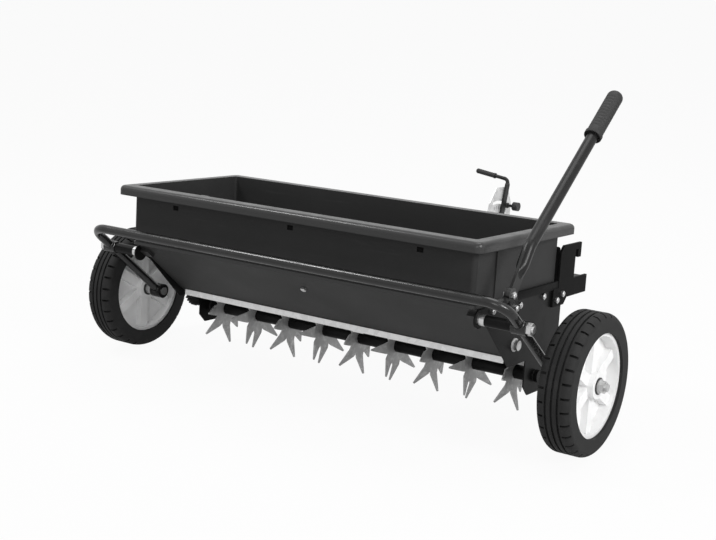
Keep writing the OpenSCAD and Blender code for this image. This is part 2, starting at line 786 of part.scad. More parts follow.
// The plate on the right end, with the hanger for the spike shaft and the ear for the pivot
module side_plate() {
  rear_low_y = outlet_rear_y - 4 * sheet_t;
  rear_low_z = foot_z - outlet_flange_h - 2 * sheet_t;
  ear_low_z = pivot_z - ear_r;
  hanger_y = spike_y - hanger_half;
  hanger_end_y = spike_y + hanger_half;
  hanger_z = spike_z - hanger_drop;
  difference() {
    slab(hop_x, plate_x) {
      polygon([[pivot_y, pivot_z + ear_r], [pivot_y, pivot_z],
               [rear_at(ear_low_z) - 2 * plate_t, ear_low_z],
               [rear_low_y, rear_low_z], [hanger_y, rear_low_z],
               [hanger_y, hanger_z + hanger_corner], [hanger_y + hanger_corner, hanger_z],
               [hanger_end_y - hanger_corner, hanger_z], [hanger_end_y, hanger_z + hanger_corner],
               [hanger_end_y, spike_z], [plate_front_y, plate_front_z],
               [plate_front_y, plate_top_z], [hop_rear_y / 2, plate_top_z]]);
      translate([pivot_y, pivot_z]) circle(ear_r);
    }
    bar(spike_y, spike_z, spike_shaft_r + bush_wall + fit, hop_x - over, plate_x + over);
    bar(agitator_y, agitator_z, agitator_r + bush_wall + fit, hop_x - over, plate_x + over);
    for (p = concat(side_bolt_at, bracket_bolt_at)) {
      bar(p[0], p[1], bolt_r + fit, hop_x - over, plate_x + over);
    }
  }
}

module right_side_plate() {
  color(paint_black) set_down() side_plate();
}

module left_side_plate() {
  color(paint_black) set_down() difference() {
    mirror([1, 0, 0]) side_plate();
    bar(idler_y, idler_z_at, idler_pin_r - bush_flange_t + fit, -plate_x - over, over - hop_x);
  }
}

module side_bolts() {
  color(zinc) set_down() {
    both_ends() for (p = side_bolt_at) {
      bolt(p[0], p[1], hop_x - hop_wall, plate_x);
    }
    on_rear_panel(0, panel_bolt_z) rotate([0, -90, 0]) bolt(0, 0, -hop_wall, 0);
  }
}

module rest_pads() {
  color(rubber_black) set_down() both_ends() on_rear_panel(hop_x - pad_w / 2, pad_z) {
    translate([-pad_w / 2, -pad_w / 2, 0]) cube([pad_w, pad_w, pad_w / 3]);
  }
}

// A C shaped bracket that carries the crossbar in its lower arm
module tow_bracket() {
  back = bracket_bolt_at[0][0] - bolt_head_d;
  low = cross_z - tube_half - bolt_head_d;
  mouth = cross_z + bracket_mouth_h;
  web_back = hop_front_y + play;
  under = cross_z - tube_half;
  arm = bracket_top_z - bracket_arm_h;
  tip = cross_y + tube_half + bracket_t;
  difference() {
    slab(plate_x, bracket_x) {
      polygon([[back, low], [plate_front_y, low], [plate_front_y + bolt_head_d, under],
               [tip, under], [tip, mouth], [bracket_web_y, mouth],
               [bracket_web_y, arm], [bracket_hook_y - bracket_arm_h, arm],
               [bracket_hook_y - bracket_arm_h, bracket_top_z - bracket_hook_h],
               [bracket_hook_y, bracket_top_z - bracket_hook_h], [bracket_hook_y, bracket_top_z],
               [web_back + bolt_head_d, bracket_top_z], [web_back, arm], [web_back, plate_top_z - play],
               [back, plate_top_z - play]]);
    }
    for (p = bracket_bolt_at) {
      bar(p[0], p[1], bolt_r + fit, plate_x - over, bracket_x + over);
    }
  }
}

module right_tow_bracket() {
  color(paint_black) set_down() tow_bracket();
}

module left_tow_bracket() {
  color(paint_black) set_down() mirror([1, 0, 0]) tow_bracket();
}

module bracket_bolts() {
  color(zinc) set_down() both_ends() for (p = bracket_bolt_at) {
    bolt(p[0], p[1], hop_x, bracket_x);
  }
}

module crossbar() {
  inner = tube_w - 2 * tube_wall;
  color(paint_black) set_down() translate([0, cross_y, cross_z]) difference() {
    cube([2 * plate_x, tube_w, tube_w], center = true);
    cube([2 * (plate_x + over), inner, inner], center = true);
  }
}

// Everything behind the crossbar's front face
module behind_crossbar() {
  deep = 4 * tube_w;
  translate([-deep, tongue_y - deep, cross_z - deep]) cube([2 * deep, deep, 2 * deep]);
}

module tongue() {
  inner = tube_w - 2 * tube_wall;
  start = -tube_w;
  color(paint_black) set_down() difference() {
    on_tongue() difference() {
      translate([-tube_half, start, -tube_half]) cube([tube_w, tongue_len - start, tube_w]);
      translate([-inner / 2, start - over, -inner / 2]) cube([inner, tongue_len - start + 2 * over, inner]);
      for (d = hitch_bolt_at) {
        translate([0, d, -tube_half - over]) cylinder(r = bolt_r + fit, h = tube_w + 2 * over);
      }
    }
    behind_crossbar();
    for (p = quadrant_bolt_at) {
      bar(flow_y + p[0], flow_mid_z + p[1], bolt_r + fit, -tube_half - over, tube_half + over);
    }
  }
}

module tongue_gussets() {
  color(paint_black) set_down() difference() {
    on_tongue() both_ends() translate([tube_half, 0, -strap_t / 2]) linear_extrude(strap_t) {
      polygon([[0, -tube_half], [gusset_w, -tube_half], [gusset_w, 0], [0, gusset_len]]);
    }
    behind_crossbar();
  }
}

// A strap that lies on the tongue and runs past its end to the hitch pin
module hitch_strap() {
  linear_extrude(strap_t) difference() {
    union() {
      translate([-strap_w / 2, strap_start]) square([strap_w, hitch_at - strap_start]);
      translate([0, hitch_at]) circle(strap_w / 2);
    }
    translate([0, hitch_at]) circle(hitch_r);
    for (d = hitch_bolt_at) {
      translate([0, d]) circle(bolt_r + fit);
    }
  }
}

module upper_hitch_strap() {
  color(paint_black) set_down() on_tongue() translate([0, 0, tube_half]) hitch_strap();
}

module lower_hitch_strap() {
  color(paint_black) set_down() on_tongue() translate([0, 0, nose_h]) hitch_strap();
}

module hitch_bolts() {
  color(zinc) set_down() on_tongue() rotate([0, -90, 0]) for (d = hitch_bolt_at) {
    bolt(d, 0, nose_h, -nose_h);
  }
}

// The arc slot of the quadrant, about the lever's pivot
module quadrant_slot() {
  far = 2 * slot_r;
  mid_deg = (slot_from_deg + slot_to_deg) / 2;
  intersection() {
    difference() {
      circle(slot_r + slot_half);
      circle(slot_r - slot_half);
    }
    polygon([for (a = [[0, 0], [far, slot_from_deg], [far, mid_deg], [far, slot_to_deg]])
             a[0] * [cos(a[1]), sin(a[1])]]);
  }
  for (a = [slot_from_deg, slot_to_deg]) {
    rotate(a) translate([slot_r, 0]) circle(slot_half);
  }
}

module flow_quadrant() {
  face = tube_half + quadrant_t;
  color(galvanised) set_down() translate([0, flow_y, flow_mid_z]) slab(tube_half, face) {
    difference() {
      polygon([for (p = quadrant_shares) p * slot_r]);
      translate([0, flow_rise]) {
        circle(bolt_r + fit);
        quadrant_slot();
      }
      for (p = quadrant_bolt_at) {
        translate(p) circle(bolt_r + fit);
      }
    }
  }
}

module quadrant_bolts() {
  color(zinc) set_down() {
    for (p = quadrant_bolt_at) {
      bolt(flow_y + p[0], flow_mid_z + p[1], -tube_half, tube_half + quadrant_t);
    }
    bolt(flow_y, flow_z, tube_half, flow_x + flow_t + play);
  }
}

// The bend of the flow lever, drawn flat: the stem comes in along the second axis
module on_flow_bend() {
  rotate([-flow_lean, 0, 0]) translate([flow_t / 2 - flow_bend_r, 0, flow_stem - flow_bend_r]) {
    rotate([90, 0, 0]) children();
  }
}

// Follows the bent handle of the flow lever: Z along it, from the end of the bend
module on_handle() {
  on_flow_bend() rotate([0, 0, 90 - flow_handle_deg]) translate([flow_bend_r, 0, 0]) {
    rotate([-90, 0, 0]) children();
  }
}

module flow_lever() {
  slide = 2 * (flow_arm - flow_arm * cos(flow_half_swing));
  bend_turn = 90 - flow_handle_deg - 2 * knuckle_deg;
  color(paint_black) set_down() translate([flow_x, flow_y, flow_z]) {
    slab(0, flow_t) difference() {
      union() {
        rotate(270 - flow_half_swing) link(flow_arm, flow_arm_w);
        rotate(90 - flow_lean) link(flow_flat, flow_arm_w);
        circle(flow_boss_share * flow_arm_w);
      }
      circle(bolt_r + fit);
      rotate(270 - flow_half_swing) translate([flow_arm - slide, 0]) {
        link(slide, control_d + 2 * play);
      }
    }
    on_flow_bend() {
      rotate_extrude(angle = bend_turn) translate([flow_bend_r, 0]) circle(d = flow_rod_d);
      translate([flow_bend_r, 0, 0]) rotate([90, 0, 0]) {
        cylinder(d = flow_rod_d, h = flow_stem - flow_bend_r - flow_flat);
      }
    }
    on_handle() {
      cylinder(d = flow_rod_d, h = flow_handle);
      cylinder(d = flow_rod_d + 2 * play, h = collar_h / 2, center = true);
    }
  }
}

module flow_grip() {
  grip_r = flow_grip_r_share * flow_rod_d;
  start = flow_handle - flow_grip_len;
  color(rubber_black) set_down() translate([flow_x, flow_y, flow_z]) on_handle() difference() {
    union() {
      translate([0, 0, start]) cylinder(r = grip_r, h = flow_grip_len);
      translate([0, 0, flow_handle]) sphere(grip_r);
    }
    translate([0, 0, start - over]) cylinder(d = flow_rod_d + 2 * fit, h = flow_grip_len + over);
  }
}

module flow_stop() {
  y = flow_y + slot_r * cos(stop_deg);
  z = flow_z + slot_r * sin(stop_deg);
  face = tube_half + quadrant_t;
  knob_x = face + knob_shares[0] * bolt_head_d;
  color(rubber_black) set_down() {
    bar(y, z, bolt_r, tube_half - bolt_head_h - over, knob_x);
    hex(y, z, bolt_head_d, tube_half - bolt_head_h, tube_half);
    bar(y, z, bolt_head_d / 2, face, face + bolt_head_h);
    bar(y, z, knob_shares[1] * bolt_head_d, knob_x - over, knob_x + bolt_head_d);
  }
}

// The bent tube that joins both wheels behind the hopper
module bail_path(d) {
  corner_x = leg_x - bail_bend_r;
  translate([0, bail_y, bail_z]) rotate([leg_deg, 0, 0]) {
    bar(0, 0, d / 2, -corner_x, corner_x);
    both_ends() {
      translate([corner_x, bail_bend_r, 0]) rotate([0, 0, 270]) {
        rotate_extrude(angle = 90) translate([bail_bend_r, 0]) circle(d = d);
      }
      translate([leg_x, bail_bend_r, 0]) {
        rotate([-90, 0, 0]) cylinder(d = d, h = leg_len - bail_bend_r);
      }
    }
  }
}

// The flat between the lever's two bolts
module lever_bolt_flat() {
  translate(lever_bolt_at[0]) rotate(lever_bolt_deg) link(2 * lever_bolt_half, paddle_w);
}

module wheel_bail() {
  color(paint_black) set_down() difference() {
    union() {
      difference() {
        bail_path(bail_d);
        bail_path(bail_d - 2 * bail_wall);
      }
      both_ends() {
        bar(pivot_y, pivot_z, pivot_boss_r, boss_x, boss_end_x);
        bar(0, axle_z, axle_boss_r, boss_x, boss_end_x);
      }
      slab(boss_x, gusset_end_x) {
        polygon([for (p = gusset_shares) [pivot_y, pivot_z] + p * pivot_dist]);
        lever_bolt_flat();
      }
    }
    both_ends() {
      bar(pivot_y, pivot_z, stud_r + fit, boss_x - over, boss_end_x + over);
      bar(0, axle_z, axle_r + fit, boss_x - over, boss_end_x + over);
    }
    for (p = lever_bolt_at) {
      bar(p[0], p[1], bolt_r + fit, boss_x - over, gusset_end_x + over);
    }
  }
}

// A stepped axle
module axle() {
  bar(0, axle_z, axle_r, boss_x - side_gap, shoulder_x);
  bar(0, axle_z, axle_r + bush_wall, boss_end_x, wheel_in_x - play);
  bar(0, axle_z, axle_thread_d / 2, shoulder_x - over, axle_end_x);
}

module right_axle() {
  color(zinc) set_down() axle();
}

module left_axle() {
  color(zinc) set_down() mirror([1, 0, 0]) axle();
}

module pivot_sleeves() {
  color(paint_black) set_down() both_ends() {
    ring(pivot_y, pivot_z, sleeve_r, stud_r + fit, sleeve_x, boss_x);
  }
}

module pivot_studs() {
  color(zinc) set_down() both_ends() {
    bar(pivot_y, pivot_z, sleeve_r, plate_x, sleeve_x - play);
    bar(pivot_y, pivot_z, stud_r, plate_x, boss_end_x + play + big_nut_h + side_gap);
  }
}

module pivot_nuts() {
  color(zinc) set_down() both_ends() {
    nut(pivot_y, pivot_z, big_nut_d, stud_r, boss_end_x + play, boss_end_x + play + big_nut_h);
  }
}

// The lever's bend: the lower part leaves it on one side, the upper part on the other
module on_lever_bend() {
  translate([lever_x, lever_y, lever_z]) rotate([lever_low_deg, 0, 0]) {
    translate([0, lever_low_len - lever_tangent, -lever_bend_r]) rotate([0, 90, 0]) {
      rotate([0, 0, 180 - lever_turn]) children();
    }
  }
}

// Follows the upper part of the lever: Z along it, from the end of the bend
module on_lever_top() {
  on_lever_bend() translate([lever_bend_r, 0, 0]) rotate([90, 0, 0]) children();
}

module lift_lever() {
  color(paint_black) set_down() difference() {
    union() {
      on_lever_bend() {
        rotate([0, 0, knuckle_deg]) rotate_extrude(angle = lever_turn - 2 * knuckle_deg) {
          translate([lever_bend_r, 0]) circle(d = lever_d);
        }
        rotate([0, 0, lever_turn]) translate([lever_bend_r, 0, 0]) rotate([-90, 0, 0]) {
          cylinder(d = lever_d, h = lever_low_len - lever_tangent - lever_up);
          cylinder(d = lever_d + 2 * play, h = collar_h / 2, center = true);
        }
      }
      on_lever_top() {
        cylinder(d = lever_d, h = lever_top_len);
        cylinder(d = lever_d + 2 * play, h = collar_h / 2, center = true);
      }
      slab(lever_x - paddle_t / 2, lever_x + paddle_t / 2) {
        lever_bolt_flat();
        translate([lever_y, lever_z]) rotate(lever_low_deg) link(lever_up + lever_d / 2, paddle_w);
      }
    }
    on_lever_top() translate([0, 0, lever_d]) {
      cylinder(d = lever_d - 2 * lever_wall, h = lever_top_len);
    }
    for (p = lever_bolt_at) {
      bar(p[0], p[1], bolt_r + fit, lever_x - paddle_t, lever_x + paddle_t);
    }
  }
}

module lever_grip() {
  grip_r = grip_d / 2;
  start = lever_high_len - lever_tangent - grip_len;
  color(rubber_black) set_down() on_lever_top() translate([0, 0, start]) difference() {
    union() {
      cylinder(r = grip_r, h = grip_len - grip_r);
      cylinder(r = grip_r + lever_wall, h = collar_h);
      translate([0, 0, grip_len - grip_r]) sphere(grip_r);
    }
    translate([0, 0, -over]) cylinder(d = lever_d + 2 * fit, h = grip_len - grip_r + over);
  }
}

module lever_bolts() {
  color(zinc) set_down() for (p = lever_bolt_at) {
    bolt(p[0], p[1], lever_x - paddle_t / 2, gusset_end_x);
  }
}

// Puts a wheel's axis, drawn along Z, on the right axle
module on_wheel() {
  translate([track_half, 0, axle_z]) rotate([0, 90, 0]) children();
}

module tyre() {
  seat_r = hub_r + fit;
  half = tyre_w / 2;
  flat = half - tyre_shoulder_r;
  notch_from = notch_share * flat;
  on_wheel() difference() {
    rotate_extrude() difference() {
      union() {
        translate([seat_r, -half]) square([tyre_r - tyre_shoulder_r - seat_r, tyre_w]);
        translate([seat_r, -flat]) square([tyre_r - seat_r, 2 * flat]);
        for (h = [-flat, flat]) {
          translate([tyre_r - tyre_shoulder_r, h]) circle(tyre_shoulder_r);
        }
      }
      for (i = [-1, 0, 1]) {
        translate([tyre_r - tread_depth, i * groove_share * flat - groove_w / 2]) {
          square([tread_depth + over, groove_w]);
        }
      }
    }
    for (i = [0 : tread_notches - 1], m = [0, 1]) {
      rotate([0, 0, (i + m / 2) * 360 / tread_notches]) mirror([0, 0, m]) {
        translate([tyre_r - 2 * tread_depth, -groove_w / 2, notch_from]) {
          cube([2 * tread_depth + over, groove_w, half - notch_from + over]);
        }
      }
    }
  }
}

module right_tyre() {
  color(rubber_black) set_down() tyre();
}

module left_tyre() {
  color(rubber_black) set_down() mirror([1, 0, 0]) tyre();
}

module hub() {
  rib_len = hub_r - hub_boss_r;
  rib_out = hub_wall / 2 + hub_rib_h;
  on_wheel() difference() {
    union() {
      translate([0, 0, -hub_wall / 2]) cylinder(r = hub_r - hub_wall / 2, h = hub_wall);
      translate([0, 0, -rim_w / 2]) difference() {
        cylinder(r = hub_r, h = rim_w);
        translate([0, 0, -over]) cylinder(r = hub_r - hub_wall, h = rim_w + 2 * over);
      }
      translate([0, 0, -hub_boss_w / 2]) cylinder(r = hub_boss_r, h = hub_boss_w);
      for (i = [0 : hub_ribs - 1]) {
        rotate([0, 0, i * 360 / hub_ribs]) {
          translate([hub_boss_r - hub_wall / 2, -hub_rib_w / 2, -rib_out]) {
            cube([rib_len, hub_rib_w, 2 * rib_out]);
          }
        }
      }
    }
    translate([0, 0, -hub_boss_w / 2 - over]) {
      cylinder(r = axle_r + bush_wall + fit, h = hub_boss_w + 2 * over);
    }
  }
}

module right_hub() {
  color(nylon_white) set_down() hub();
}

module left_hub() {
  color(nylon_white) set_down() mirror([1, 0, 0]) hub();
}

module wheel_bushes() {
  sleeve = axle_r + bush_wall;
  bore = axle_r + fit;
  on_wheel() for (m = [0, 1]) {
    mirror([0, 0, m]) translate([0, 0, hub_boss_w / 2 - bush_len]) difference() {
      union() {
        cylinder(r = sleeve, h = bush_len);
        translate([0, 0, bush_len]) cylinder(r = sleeve + bush_wall, h = bush_flange_t);
      }
      translate([0, 0, -over]) cylinder(r = bore, h = bush_len + bush_flange_t + 2 * over);
    }
  }
}

module right_wheel_bushes() {
  color(rubber_black) set_down() wheel_bushes();
}

module left_wheel_bushes() {
  color(rubber_black) set_down() mirror([1, 0, 0]) wheel_bushes();
}

module axle_nuts() {
  thread_r = axle_thread_d / 2;
  seat = shoulder_x + bush_flange_t;
  color(zinc) set_down() both_ends() {
    ring(0, axle_z, big_nut_d / 2 + bush_flange_t, thread_r + fit, shoulder_x, seat);
    nut(0, axle_z, big_nut_d, thread_r, seat, seat + big_nut_h);
  }
}

module spike_shaft() {
  collar_x = plate_x + bush_flange_t + play;
  color(paint_black) set_down() {
    bar(spike_y, spike_z, spike_shaft_r, -gear_end_x - over, collar_x + collar_h);
    bar(spike_y, spike_z, spike_shaft_r + bush_wall, collar_x, collar_x + collar_h);
  }
}

// A star of flat steel whose points are bent to one side and the other in turn
module star(index) {
  reach = (star_r - star_bend_r) / cos(star_bend);
  step = 360 / star_points;
  valley_r = valley_share * star_bend_r;
  lap = star_t / 2;
  tip_w = tip_share * star_point_w;
  root_w = star_point_w - play;
  flip = index % 2;
  core = [for (i = [0 : star_points - 1], p = [[star_bend_r, -star_point_w], [star_bend_r, star_point_w],
                                               valley_r * [cos(step / 2), sin(step / 2)]])
          [p[0] * cos(i * step) - p[1] * sin(i * step), p[0] * sin(i * step) + p[1] * cos(i * step)]];
  color(galvanised) set_down() translate([(index - 5) * star_pitch, spike_y, spike_z]) rotate([0, 90, 0]) {
    difference() {
      union() {
        translate([0, 0, -star_t / 2]) linear_extrude(star_t) polygon(core);
        for (i = [0 : star_points - 1]) {
          side = (i + flip) % 2 == 0 ? 1 : -1;
          rotate([0, 0, i * step]) translate([star_bend_r, 0, 0]) rotate([0, side * star_bend, 0]) {
            translate([0, 0, -star_t / 2]) linear_extrude(star_t) {
              polygon([[-lap, -root_w], [lap, -root_w], [reach, -tip_w],
                       [reach, tip_w], [lap, root_w], [-lap, root_w]]);
            }
          }
        }
      }
      translate([0, 0, -star_t]) cylinder(r = spike_shaft_r + fit, h = 2 * star_t);
    }
  }
}

module star_1() star(1);
module star_2() star(2);
module star_3() star(3);
module star_4() star(4);
module star_5() star(5);
module star_6() star(6);
module star_7() star(7);
module star_8() star(8);
module star_9() star(9);

module spike_spacers() {
  bore = spike_shaft_r + fit;
  last = 4 * star_pitch + star_t / 2;
  color(paint_black) set_down() {
    for (i = [-4 : 3]) {
      from = i * star_pitch + star_t / 2;
      ring(spike_y, spike_z, spacer_d / 2, bore, from, from + star_pitch - star_t);
    }
    both_ends() ring(spike_y, spike_z, spacer_d / 2, bore, last, hop_x - bush_wall - play);
  }
}

module shaft_bearings() {
  sleeve = spike_shaft_r + bush_wall;
  color(rubber_black) set_down() both_ends() difference() {
    union() {
      bar(spike_y, spike_z, sleeve, hop_x - bush_wall, plate_x + bush_flange_t);
      bar(spike_y, spike_z, sleeve + bush_wall, hop_x - bush_wall, hop_x);
    }
    bar(spike_y, spike_z, spike_shaft_r + fit, hop_x - bush_wall - over, plate_x + bush_flange_t + over);
  }
}

// An involute gear, with the middle of a tooth at the given angle
function involute_deg(a) = tan(a) * 180 / PI - a;
module gear_shape(teeth, phase) {
  pitch_r = gear_m * teeth / 2;
  base_r = pitch_r * cos(pressure_deg);
  tip_r = pitch_r + gear_m;
  root_r = pitch_r - root_share * gear_m;
  thin_deg = gear_play / 4 / pitch_r * 180 / PI;
  flank = [for (i = [0 : 4]) base_r + (tip_r - base_r) * i / 4];
  half = [for (r = flank)
          90 / teeth + involute_deg(pressure_deg) - involute_deg(acos(base_r / r)) - thin_deg];
  rise = concat([[root_r, half[0]]], [for (i = [0 : 4]) [flank[i], half[i]]]);
  tooth = concat([for (p = rise) [p[0], -p[1]]], [for (i = [5 : -1 : 0]) rise[i]]);
  polygon([for (i = [0 : teeth - 1], p = tooth)
           p[0] * [cos(phase + i * 360 / teeth + p[1]), sin(phase + i * 360 / teeth + p[1])]]);
}

module star_gear() {
  color(nylon_white) set_down() translate([0, spike_y, spike_z]) {
    slab(-gear_end_x, -gear_x) difference() {
      gear_shape(gear_z, first_deg);
      circle(spike_shaft_r + fit);
    }
  }
}

module idler_gear() {
  color(nylon_white) set_down() translate([0, idler_y, idler_z_at]) {
    slab(-gear_end_x, -gear_x) difference() {
      gear_shape(idler_z, idler_phase);
      circle(idler_pin_r + fit);
    }
  }
}

module idler_pin() {
  head_r = idler_pin_r + bush_flange_t;
  journal_end = gear_end_x + play;
  color(zinc) set_down() mirror([1, 0, 0]) {
    bar(idler_y, idler_z_at, idler_pin_r - bush_flange_t, hop_x, plate_x + over);
    bar(idler_y, idler_z_at, head_r, plate_x, gear_x - play);
    bar(idler_y, idler_z_at, idler_pin_r, plate_x, journal_end);
    bar(idler_y, idler_z_at, head_r, journal_end, journal_end + bush_flange_t);
  }
}

module agitator_gear() {
  color(nylon_white) set_down() translate([0, agitator_y, agitator_z]) {
    slab(-gear_end_x, -gear_x) difference() {
      gear_shape(gear_z, agitator_phase);
      circle(agitator_r + fit);
    }
  }
}

module agitator_shaft() {
  collar_x = plate_x + bush_flange_t + play;
  first_x = -outlet_pitch * (outlet_holes - 1) / 2;
  color(zinc) set_down() {
    bar(agitator_y, agitator_z, agitator_r, -gear_end_x - over, collar_x + collar_h);
    bar(agitator_y, agitator_z, agitator_r + bush_wall, collar_x, collar_x + collar_h);
    for (i = [0 : outlet_holes - 1]) {
      translate([first_x + i * outlet_pitch, agitator_y, agitator_z]) rotate([90 * (i % 2), 0, 0]) {
        cylinder(d = finger_d, h = 2 * agitator_reach, center = true);
      }
    }
  }
}

module agitator_bushes() {
  sleeve = agitator_r + bush_wall;
  color(nylon_white) set_down() both_ends() difference() {
    union() {
      bar(agitator_y, agitator_z, sleeve, hop_x - hop_wall, plate_x + bush_flange_t);
      bar(agitator_y, agitator_z, sleeve + bush_wall, plate_x, plate_x + bush_flange_t);
    }
    bar(agitator_y, agitator_z, agitator_r + fit, hop_x - hop_wall - over, plate_x + bush_flange_t + over);
  }
}

hopper();
outlet_plate();
shutter_plate();
shutter_screws();
control_rod();
left_side_plate();
right_side_plate();
side_bolts();
rest_pads();
left_tow_bracket();
right_tow_bracket();
bracket_bolts();
crossbar();
tongue();
tongue_gussets();
upper_hitch_strap();
lower_hitch_strap();
hitch_bolts();
flow_quadrant();
quadrant_bolts();
flow_lever();
flow_grip();
flow_stop();
wheel_bail();
left_axle();
right_axle();
pivot_sleeves();
pivot_studs();
pivot_nuts();
lift_lever();
lever_grip();
lever_bolts();
left_tyre();
right_tyre();
left_hub();
right_hub();
left_wheel_bushes();
right_wheel_bushes();
axle_nuts();
spike_shaft();
star_1();
star_2();
star_3();
star_4();
star_5();
star_6();
star_7();
star_8();
star_9();
spike_spacers();
shaft_bearings();
star_gear();
idler_gear();
idler_pin();
agitator_gear();
agitator_shaft();
agitator_bushes();
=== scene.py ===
# %% [markdown]
# A tow behind spike aerator with a seed hopper, dressed for its picture.
# The machine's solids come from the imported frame, in metres, and stay where they are.
# This lesson puts a camera and studio light round them, gives each a finish, and adds
# small pieces by hand.

# %% Load the frame
import math

import bmesh
import bpy
from mathutils import Matrix, Vector


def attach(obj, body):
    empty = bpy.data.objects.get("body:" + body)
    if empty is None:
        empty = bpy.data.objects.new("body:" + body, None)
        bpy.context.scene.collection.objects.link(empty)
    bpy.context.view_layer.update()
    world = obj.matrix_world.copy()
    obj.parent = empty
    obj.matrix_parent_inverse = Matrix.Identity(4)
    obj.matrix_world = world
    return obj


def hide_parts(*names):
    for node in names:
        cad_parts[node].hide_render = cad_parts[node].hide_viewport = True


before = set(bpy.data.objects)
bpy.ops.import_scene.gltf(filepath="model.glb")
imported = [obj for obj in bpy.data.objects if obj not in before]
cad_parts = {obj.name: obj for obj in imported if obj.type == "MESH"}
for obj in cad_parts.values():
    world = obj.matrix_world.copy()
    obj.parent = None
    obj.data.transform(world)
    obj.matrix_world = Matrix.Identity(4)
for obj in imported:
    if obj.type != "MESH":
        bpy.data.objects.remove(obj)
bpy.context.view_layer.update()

# %% [markdown]
# The picture was taken from the right rear, a little above the hopper's rim.
# The camera could be moved by eye until it fits, but the wheels are circles of a known size.
# So its place, direction and lens were worked out from the two wheels and the hopper's long edges.

# %% Camera
camera_at = Vector((1.6972, -2.8061, 1.0966))
camera_looks = Vector((-0.5508, 0.7910, -0.2666))
lens_mm, film_mm = 65.15, 36.0

bpy.ops.object.select_all(action="DESELECT")
bpy.ops.object.camera_add(location=camera_at, rotation=camera_looks.to_track_quat("-Z", "Y").to_euler())
camera = bpy.context.object
camera.name = "camera"
camera.data.lens = lens_mm
camera.data.sensor_width = film_mm
bpy.context.scene.camera = camera
print("camera", tuple(round(v, 3) for v in camera.location), "lens", lens_mm, "mm")

# %% [markdown]
# A finish is a tree of shader nodes, and its maths is easier to read as arithmetic than
# as boxes and lines.
# The class here holds one socket: adding or multiplying two of them adds a Math node.
# Its node method adds any node, sets it up first, and then fills or links its sockets.

# %% Shader arithmetic
class Wire:
    """A socket in a node tree that can be added, subtracted, multiplied and raised."""

    def __init__(self, tree, socket=None):
        self.tree = tree
        self.socket = socket

    def node(self, kind, settings=None, sockets=None, out=0):
        made = self.tree.nodes.new(kind)
        for key, value in (settings or {}).items():
            setattr(made, key, value)
        for key, value in (sockets or {}).items():
            if isinstance(value, Wire):
                self.tree.links.new(value.socket, made.inputs[key])
            else:
                made.inputs[key].default_value = value
        return Wire(self.tree, made.outputs[out])

    def maths(self, operation, first, second):
        return self.node("ShaderNodeMath", {"operation": operation}, {0: first, 1: second})

    def __add__(self, other):
        return self.maths("ADD", self, other)

    def __sub__(self, other):
        return self.maths("SUBTRACT", self, other)

    def __rsub__(self, other):
        return self.maths("SUBTRACT", other, self)

    def __mul__(self, other):
        return self.maths("MULTIPLY", self, other)

    def __pow__(self, other):
        return self.maths("POWER", self, other)

    __radd__ = __add__
    __rmul__ = __mul__


print("shader arithmetic ready")

# %% [markdown]
# The machine stands on a white studio sweep, so its shadow is the only thing that marks the floor.
# More lamps would whiten the floor but bleach the machine too.
# So the floor glows nearly to white for the camera and half way for reflections, and keeps the shadow.

# %% Floor and surroundings
def seen_directly(wire, direct, mirrored):
    """One share for the camera's own rays, another for mirrored or passed ones, and 0 for other light."""
    rays = wire.node("ShaderNodeLightPath", out="Is Camera Ray")
    path = rays.socket.node
    glossy = Wire(wire.tree, path.outputs["Is Glossy Ray"])
    through = Wire(wire.tree, path.outputs["Is Transmission Ray"])
    shares = rays * direct + (glossy + through) * mirrored
    return wire.maths("MINIMUM", shares, 1.0)


floor_white_share, floor_mirror_share = 0.94, 0.5
floor_size, floor_below, paper_grey = 60.0, 0.0005, 0.60
sky_strength, pure_white = 0.42, (1.0, 1.0, 1.0, 1.0)
bpy.ops.object.select_all(action="DESELECT")
bpy.ops.mesh.primitive_plane_add(size=floor_size, location=(0.0, 0.0, -floor_below))
floor = bpy.context.object
floor.name = "studio_floor"
paper = bpy.data.materials.new("studio_paper")
paper.use_nodes = True
paper.node_tree.nodes.clear()
wire = Wire(paper.node_tree)
matt = wire.node("ShaderNodeBsdfDiffuse", {}, {"Color": (paper_grey, paper_grey, paper_grey, 1.0)})
glow = wire.node("ShaderNodeEmission", {}, {"Color": pure_white, "Strength": 1.0})
whitened = seen_directly(wire, floor_white_share, floor_mirror_share)
shown = wire.node("ShaderNodeMixShader", {}, {0: whitened, 1: matt, 2: glow})
paper_out = paper.node_tree.nodes.new("ShaderNodeOutputMaterial")
paper.node_tree.links.new(shown.socket, paper_out.inputs["Surface"])
floor.data.materials.append(paper)

studio = bpy.data.worlds.new("studio")
studio.use_nodes = True
studio.node_tree.nodes.clear()
wire = Wire(studio.node_tree)
soft = wire.node("ShaderNodeBackground", {}, {"Color": pure_white, "Strength": sky_strength})
white = wire.node("ShaderNodeBackground", {}, {"Color": pure_white, "Strength": 1.0})
sky = wire.node("ShaderNodeMixShader", {}, {0: seen_directly(wire, 1.0, 1.0), 1: soft, 2: white})
sky_out = studio.node_tree.nodes.new("ShaderNodeOutputWorld")
studio.node_tree.links.new(sky.socket, sky_out.inputs["Surface"])
bpy.context.scene.world = studio
bpy.context.scene.view_settings.view_transform = "Standard"
print("floor and surroundings: white seen directly, soft light of", sky_strength, "all round")

# %% [markdown]
# In the photograph the hopper's end wall is lighter than its rear wall, and the rolled
# rim carries a bright line.
# That is one large soft light on the right, with weaker ones overhead and beside the camera.
# The tube behind the hopper mirrors what lies to the left of it, so a small lamp high
# on the left draws the line.
# Area lamps give such soft edges; each is aimed at the hopper with a track rotation.

